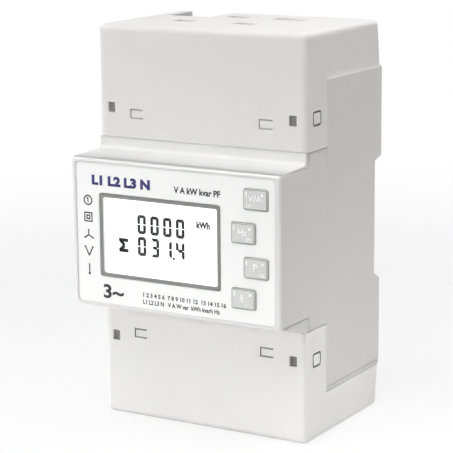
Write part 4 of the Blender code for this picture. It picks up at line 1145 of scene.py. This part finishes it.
@dataclass
class FrontLabel:
    """Label film with its print."""

    line: float = 0.42 * MM
    corner: float = 1.2 * MM
    gap: float = 0.3 * MM
    clear: float = 0.02 * MM
    bead_foot: float = 0.55 * MM
    bead_recess: float = 0.07 * MM
    symbol_x: float = -30.15 * MM
    ring: tuple[float, float] = (9.85 * MM, 1.6 * MM)   # how high it stands, and its radius
    squares_z: float = 4.7 * MM
    squares: tuple[float, float] = (3.0 * MM, 1.45 * MM)
    strokes: tuple[tuple[float, float, float, float, float], ...] = (   # both ends and the width, in mm
        (0.0, 9.0, 0.0, 10.75, 0.36), (-0.5, 10.2, 0.02, 10.72, 0.28), (0.0, -0.8, 0.0, 0.72, 0.42),
        (0.0, -0.8, -1.45, -1.75, 0.42), (0.0, -0.8, 1.6, -1.7, 0.42), (0.0, -7.2, -1.35, -4.5, 0.42),
        (0.0, -7.2, 1.35, -4.5, 0.42), (0.0, -9.8, 0.0, -12.6, 0.42),
    )
    discs: tuple[tuple[float, float, float], ...] = (                   # middle and radius, in mm
        (0.0, 0.72, 0.27), (-1.45, -1.75, 0.27), (1.6, -1.7, 0.27), (0.0, -0.8, 0.24),
        (-1.35, -4.5, 0.3), (1.35, -4.5, 0.3), (0.0, -9.8, 0.22), (0.0, -12.7, 0.42),
    )

    def dress(self, nodes: Nodes) -> None:
        """Give the label and the plate behind it their finish."""
        coat(nodes, ("front_label",), MouldedPlastic("label_film", Tone.LABEL.value, 0.38, grain_size=0.12 * MM,
                                                     grain_depth=0.002 * MM, mottle=0.006, edge_radius=0.1 * MM))
        coat(nodes, ("faceplate",), MouldedPlastic("faceplate_plastic", Tone.HOUSING.value))

    def build_bead(self) -> None:
        """Sealing bead that fills the groove round the label to just below its face."""
        low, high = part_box("front_label")
        middle = ((low.x + high.x) / 2, (low.z + high.z) / 2)
        half_x, half_z = (high.x - low.x) / 2, (high.z - low.z) / 2
        inner, outer = (rounded(middle, half_x + grow, half_z + grow, self.corner + grow)
                        for grow in (self.clear, self.gap - self.clear))
        bead = FlatShape("label_bead", LABEL_Y + self.bead_foot, self.bead_foot - self.bead_recess)
        bead.ring(outer, inner)
        bead.finish(MouldedPlastic("bead_silicone", Tone.BEAD.value, 0.5, edge_radius=0.0).build(), "label")

    def build_symbols(self, ink: Material) -> None:
        """Column of connection symbols at the left of the display.

        Args:
            ink: dark ink.
        """
        shape = FlatShape("label_symbols", LABEL_Y)
        up, radius = self.ring
        shape.ring(*(circle((self.symbol_x, up), size, 32) for size in (radius, radius - self.line)))
        for side in self.squares:
            shape.ring(*(rectangle((self.symbol_x, self.squares_z), size, size)
                         for size in (side, side - 2 * self.line)))
        for x, z, end_x, end_z, width in self.strokes:
            shape.stroke((self.symbol_x + x * MM, z * MM), (self.symbol_x + end_x * MM, end_z * MM), width * MM)
        for x, z, size in self.discs:
            shape.disc((self.symbol_x + x * MM, z * MM), size * MM)
        shape.finish(ink, "black_plastic")

    def build(self) -> None:
        """Make all print on the label."""
        dark, grey, blue = (PrintedInk(name, tone.value).build() for name, tone in (
            ("dark_ink", Tone.DARK_INK), ("grey_ink", Tone.GREY_INK), ("blue_ink", Tone.BLUE_INK)))
        self.build_bead()
        self.build_symbols(dark)
        for name, ink, *lines in (
            ("phases", blue, Words("L1 L2 L3 N", -28.6 * MM, 14.7 * MM, 3.1 * MM, 20.7 * MM, 0.06)),
            ("units", dark, Words("V A kW kvar PF", 0.3 * MM, 14.7 * MM, 1.95 * MM, 15.8 * MM, 0.035)),
            ("poles", dark, Words("3~", -25.2 * MM, -19.8 * MM, 4.4 * MM, 7.3 * MM, 0.03)),
            ("numbers", grey,
             Words("1 2 3 4 5 6  7 8 9 10 11 12  13 14 15 16", -10.95 * MM, -17.85 * MM, 1.4 * MM, 28.7 * MM, 0.03),
             Words("L1 L2 L3 N   V A W var  kWh kvarh Hz", -11.0 * MM, -20.0 * MM, 1.4 * MM, 26.6 * MM, 0.03)),
        ):
            lettering("label_" + name, lines, LABEL_Y, ink)


class Segment(Enum):
    """The seven bars of a digit."""

    TOP = "a"
    UPPER_RIGHT = "b"
    LOWER_RIGHT = "c"
    BOTTOM = "d"
    LOWER_LEFT = "e"
    UPPER_LEFT = "f"
    MIDDLE = "g"


DIGITS = {"0": "abcdef", "1": "bc", "3": "abgcd", "4": "fgbc"}   # bars of each digit that is shown


@dataclass
class Display:
    """Bezel, window, glass and the segments that show on it."""

    digit_width: float = 2.95 * MM
    digit_height: float = 5.75 * MM
    bar: float = 0.96 * MM
    bar_gap: float = 0.14 * MM
    bar_mitre: float = 0.015 * MM
    bar_bevel: float = 0.3        # share of the bar's width that its outer corners lose
    face_depth: float = FRONT_Y + 0.28 * MM
    lower_base: float = -5.68 * MM
    upper_base: float = 0.97 * MM
    columns: tuple[float, ...] = (-13.37 * MM, -8.82 * MM, -4.37 * MM, 0.08 * MM)
    last_left: float = 0.0        # left side of the last digit of the lower row
    point: tuple[float, float, float] = (-0.78 * MM, 0.32 * MM, 0.42 * MM)   # middle over the base, and radius
    sum_x: Point = (-20.1 * MM, -16.76 * MM)
    sum_z: Point = (-5.2 * MM, -0.95 * MM)
    sum_weight: float = 1.08 * MM
    sum_elbow: float = 2.0 * MM
    sum_foot: float = 0.35 * MM

    def dress(self, nodes: Nodes) -> None:
        """Give the display's nodes their finish."""
        for name, finish in (
            ("bezel", FacedPlastic("bezel_plastic", Tone.BEZEL.value, Tone.LABEL.value, self.face_depth)),
            ("window", ClearWindow("display_window")),
            ("glass", LitPanel("display_cell", Tone.DISPLAY.value, 0.45)),
            ("backlight", LitPanel("light_guide", Tone.DISPLAY.value, 0.2, 0.5)),
        ):
            coat(nodes, ("lcd_" + name,), finish)

    def bar_outline(self, segment: Segment, left: float, base: float) -> list[Point]:
        """Outline of one bar with mitred ends.

        Args:
            segment: which bar.
            left: left side of the digit.
            base: bottom of the digit.

        Returns:
            The outline.
        """
        w, h, t, g, m = self.digit_width, self.digit_height, self.bar, self.bar_gap, self.bar_mitre
        half, cut = h / 2, self.bar_bevel * t
        top = [(cut + m, h - cut), (2 * cut + m, h), (w - 2 * cut - m, h), (w - cut - m, h - cut),
               (w - t - m, h - t), (t + m, h - t)]
        middle = [(t / 2 + g, half), (t + g, half + t / 2), (w - t - g, half + t / 2),
                  (w - t / 2 - g, half), (w - t - g, half - t / 2), (t + g, half - t / 2)]
        side = [(0.0, h - 2 * cut), (cut - m, h - cut - m), (t - m, h - t - m), (t - m, half + g), (0.0, half + g)]
        points = {Segment.TOP: top, Segment.BOTTOM: top, Segment.MIDDLE: middle}.get(segment, side)
        if segment in (Segment.BOTTOM, Segment.LOWER_LEFT, Segment.LOWER_RIGHT):
            points = [(x, h - z) for x, z in points]
        if segment in (Segment.UPPER_RIGHT, Segment.LOWER_RIGHT):
            points = [(w - x, z) for x, z in points]
        return [(left + x, base + z) for x, z in points]

    def build(self) -> None:
        """Make the shown digits, the sum sign and the unit."""
        black = PrintedInk("segment_black", Tone.SEGMENT.value, 0.35, 0.08).build()
        shape = FlatShape("display_segments", GLASS_Y)
        lower = (*self.columns[:-1], self.last_left)
        for text, lefts, base in (("0000", self.columns, self.upper_base), ("0314", lower, self.lower_base)):
            for character, left in zip(text, lefts):
                for code in DIGITS[character]:
                    shape.polygon(self.bar_outline(Segment(code), left, base))
        x, z, radius = self.point
        shape.disc((x, self.lower_base + z), radius)
        (left, right), (low, high), weight = self.sum_x, self.sum_z, self.sum_weight
        elbow = (left + self.sum_elbow, (low + high) / 2)
        for level in (high - weight / 2, low + weight / 2):
            shape.stroke((left, level), (right, level), weight)
            shape.stroke((left + self.sum_foot, level), elbow, weight)
        shape.finish(black, "black_plastic")
        unit = Words("kWh", 7.16 * MM, 4.61 * MM, 2.15 * MM, 4.58 * MM, 0.045)
        lettering("display_unit", [unit], GLASS_Y, black)


@dataclass(frozen=True)
class KeyCap(Finish):
    """Soft grey key cap whose edge band is darker than its face."""

    centre: Point
    half_size: Point
    edge: float
    face_end: float = KEY_FACE_Y + 0.06 * MM      # Y behind which the sides are plain
    edge_blur: float = 0.3        # share of the edge's width over which it fades
    roughness: float = 0.5
    roughness_spread: float = 0.06
    speckle_size: float = 0.9 * MM
    speckle: Point = (0.93, 1.05)
    grain_size: float = 0.15 * MM
    grain_depth: float = 0.003 * MM

    def side_gap(self, graph: NodeGraph, axis: str, index: int) -> Socket:
        """Distance to the nearer side along one axis."""
        shifted = graph.maths("SUBTRACT", graph.along(axis), self.centre[index])
        return graph.maths("SUBTRACT", self.half_size[index], graph.maths("ABSOLUTE", shifted))

    def shader(self, graph: NodeGraph) -> Socket:
        """Make the cap's shader.

        Args:
            graph: graph that its nodes go into.

        Returns:
            The shader.
        """
        gap = graph.maths("MINIMUM", self.side_gap(graph, "X", 0), self.side_gap(graph, "Z", 1))
        band = graph.add("MapRange", "Result", interpolation_type="SMOOTHSTEP", Value=gap,
                         From_Min=self.edge * (1.0 - self.edge_blur), From_Max=self.edge * (1.0 + self.edge_blur))
        face = graph.tinted(graph.noise(self.speckle_size, 3.0), Tone.KEY.value, *self.speckle)
        front = graph.mix(band, Tone.KEY_EDGE.value, face)
        behind = graph.maths("GREATER_THAN", graph.along("Y"), self.face_end)
        grain = graph.noise(self.grain_size, 3.0)
        return graph.principled(graph.mix(behind, front, Tone.KEY_SIDE.value),
                                graph.around(grain, self.roughness, self.roughness_spread),
                                Normal=graph.bump(grain, self.grain_depth))


@dataclass
class Keypad:
    """Key caps with their darker edge and legends."""

    edge: float = 0.3 * MM
    flange: float = 0.8 * MM
    letter: Point = (1.55 * MM, 2.15 * MM)        # width and height of the main legend's letters
    small_letter: Point = (0.95 * MM, 1.15 * MM)
    letter_drop: float = 0.75 * MM
    small_drop: float = 2.3 * MM
    small_left: float = 3.0 * MM
    small_right: float = 3.1 * MM
    mark_z: float = 1.45 * MM
    arrow_tip: float = 3.0 * MM
    arrow: Point = (1.0 * MM, 0.55 * MM)
    dash_x: float = -2.9 * MM
    dash: Point = (0.4 * MM, 1.2 * MM)
    legends: tuple[tuple[str, str], ...] = (("V/A", "kW"), ("Hz", "PF"), ("P", "OK"), ("E", "+ -"))

    def cap_place(self, number: int) -> tuple[Point, Point]:
        """Middle and half size of a cap's face, in X and Z.

        Args:
            number: which key, from the top.

        Returns:
            The middle and the half size.
        """
        low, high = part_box(f"key_{number}")
        centre = ((low.x + high.x) / 2, (low.z + high.z) / 2)
        return centre, ((high.x - low.x) / 2 - self.flange, (high.z - low.z) / 2 - self.flange)

    def dress(self, nodes: Nodes) -> None:
        """Give the keys and switches their finish."""
        coat(nodes, ("key_switch",), PlatedSteel("switch_steel", Tone.STEEL.value))
        coat(nodes, ("switch_plunger",), MouldedPlastic("switch_black", Tone.BLACK.value, 0.45))
        for number in range(1, len(self.legends) + 1):
            coat(nodes, (f"key_{number}",), KeyCap(f"key_{number}_rubber", *self.cap_place(number), self.edge))

    def build_key(self, number: int, main: str, small: str, ink: Material) -> None:
        """Print one key.

        Args:
            number: which key, from the top.
            main: its main line.
            small: its smaller line. The first key has it at the left, the others at the right.
            ink: white ink.
        """
        (x, z), _ = self.cap_place(number)
        body = f"key_{number}"
        wide, small_wide = self.letter[0] * len(main), self.small_letter[0] * len(small)
        left = x - self.small_left if number == 1 else x + self.small_right - small_wide
        lines = [Words(main, x - wide / 2, z - self.letter_drop, self.letter[1], wide, 0.03),
                 Words(small, left, z - self.small_drop, self.small_letter[1], small_wide, 0.02)]
        lettering(body + "_legend", lines, KEY_FACE_Y, ink, body)
        marks = FlatShape(body + "_arrow", KEY_FACE_Y)
        tip, mark_z, (length, half) = x + self.arrow_tip, z + self.mark_z, self.arrow
        marks.polygon([(tip, mark_z), (tip - length, mark_z + half), (tip - length, mark_z - half)])
        marks.polygon(rectangle((x + self.dash_x, mark_z), *self.dash))
        marks.finish(ink, "key", body)

    def build(self) -> None:
        """Print all keys."""
        ink = PrintedInk("white_ink", Tone.KEY_INK.value, 0.5, 0.03).build()
        for number, (main, small) in enumerate(self.legends, start=1):
            self.build_key(number, main, small, ink)


@dataclass
class Internals:
    """Boards, terminals and the parts that stand on the boards."""

    finishes: tuple[tuple[tuple[str, ...], Finish], ...] = (
        (("_board",), CircuitBoard("board_mask", Tone.MASK.value, Tone.TRACE.value)),
        (("_header", "_chip"), MouldedPlastic("black_resin", Tone.BLACK.value, 0.45)),
        (("terminal_screw", "terminal_clamp"), PlatedSteel("plated_steel", Tone.STEEL.value)),
        (("terminal_block",), MouldedPlastic("block_plastic", Tone.BLOCK.value, 0.5)),
        (("varistor",), MouldedPlastic("dipped_resin", Tone.DIPPED.value, 0.35, mottle=0.06)),
        (("supply_transformer",), MouldedPlastic("winding_tape", Tone.WINDING.value, 0.4, mottle=0.06)),
        (("filter_capacitor",), MouldedPlastic("cast_resin", Tone.FILM_CAPACITOR.value, 0.4)),
        (("supply_capacitor",), MouldedPlastic("sleeve_film", Tone.SLEEVE.value, 0.3)),
    )

    def dress(self, nodes: Nodes) -> None:
        """Give the inner nodes their finish."""
        for words, finish in self.finishes:
            coat(nodes, words, finish)


def note_sizes() -> None:
    """Bring the view layer up to date.
    """
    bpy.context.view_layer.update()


def main() -> None:
    """Load the frame, dress it, and add what is printed and shown."""
    logging.basicConfig(level=logging.INFO, format="%(name)s: %(message)s")
    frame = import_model()
    nodes = frame["nodes"]
    ProductCamera().build()
    Studio().build()
    Enclosure().dress(nodes)
    Seams().build()
    EntrySeals().build()
    SealLugs().build()
    for group in (FrontLabel(), Display(), Keypad()):
        group.dress(nodes)
        group.build()
    Internals().dress(nodes)
    note_sizes()


if __name__ == "__main__":
    main()
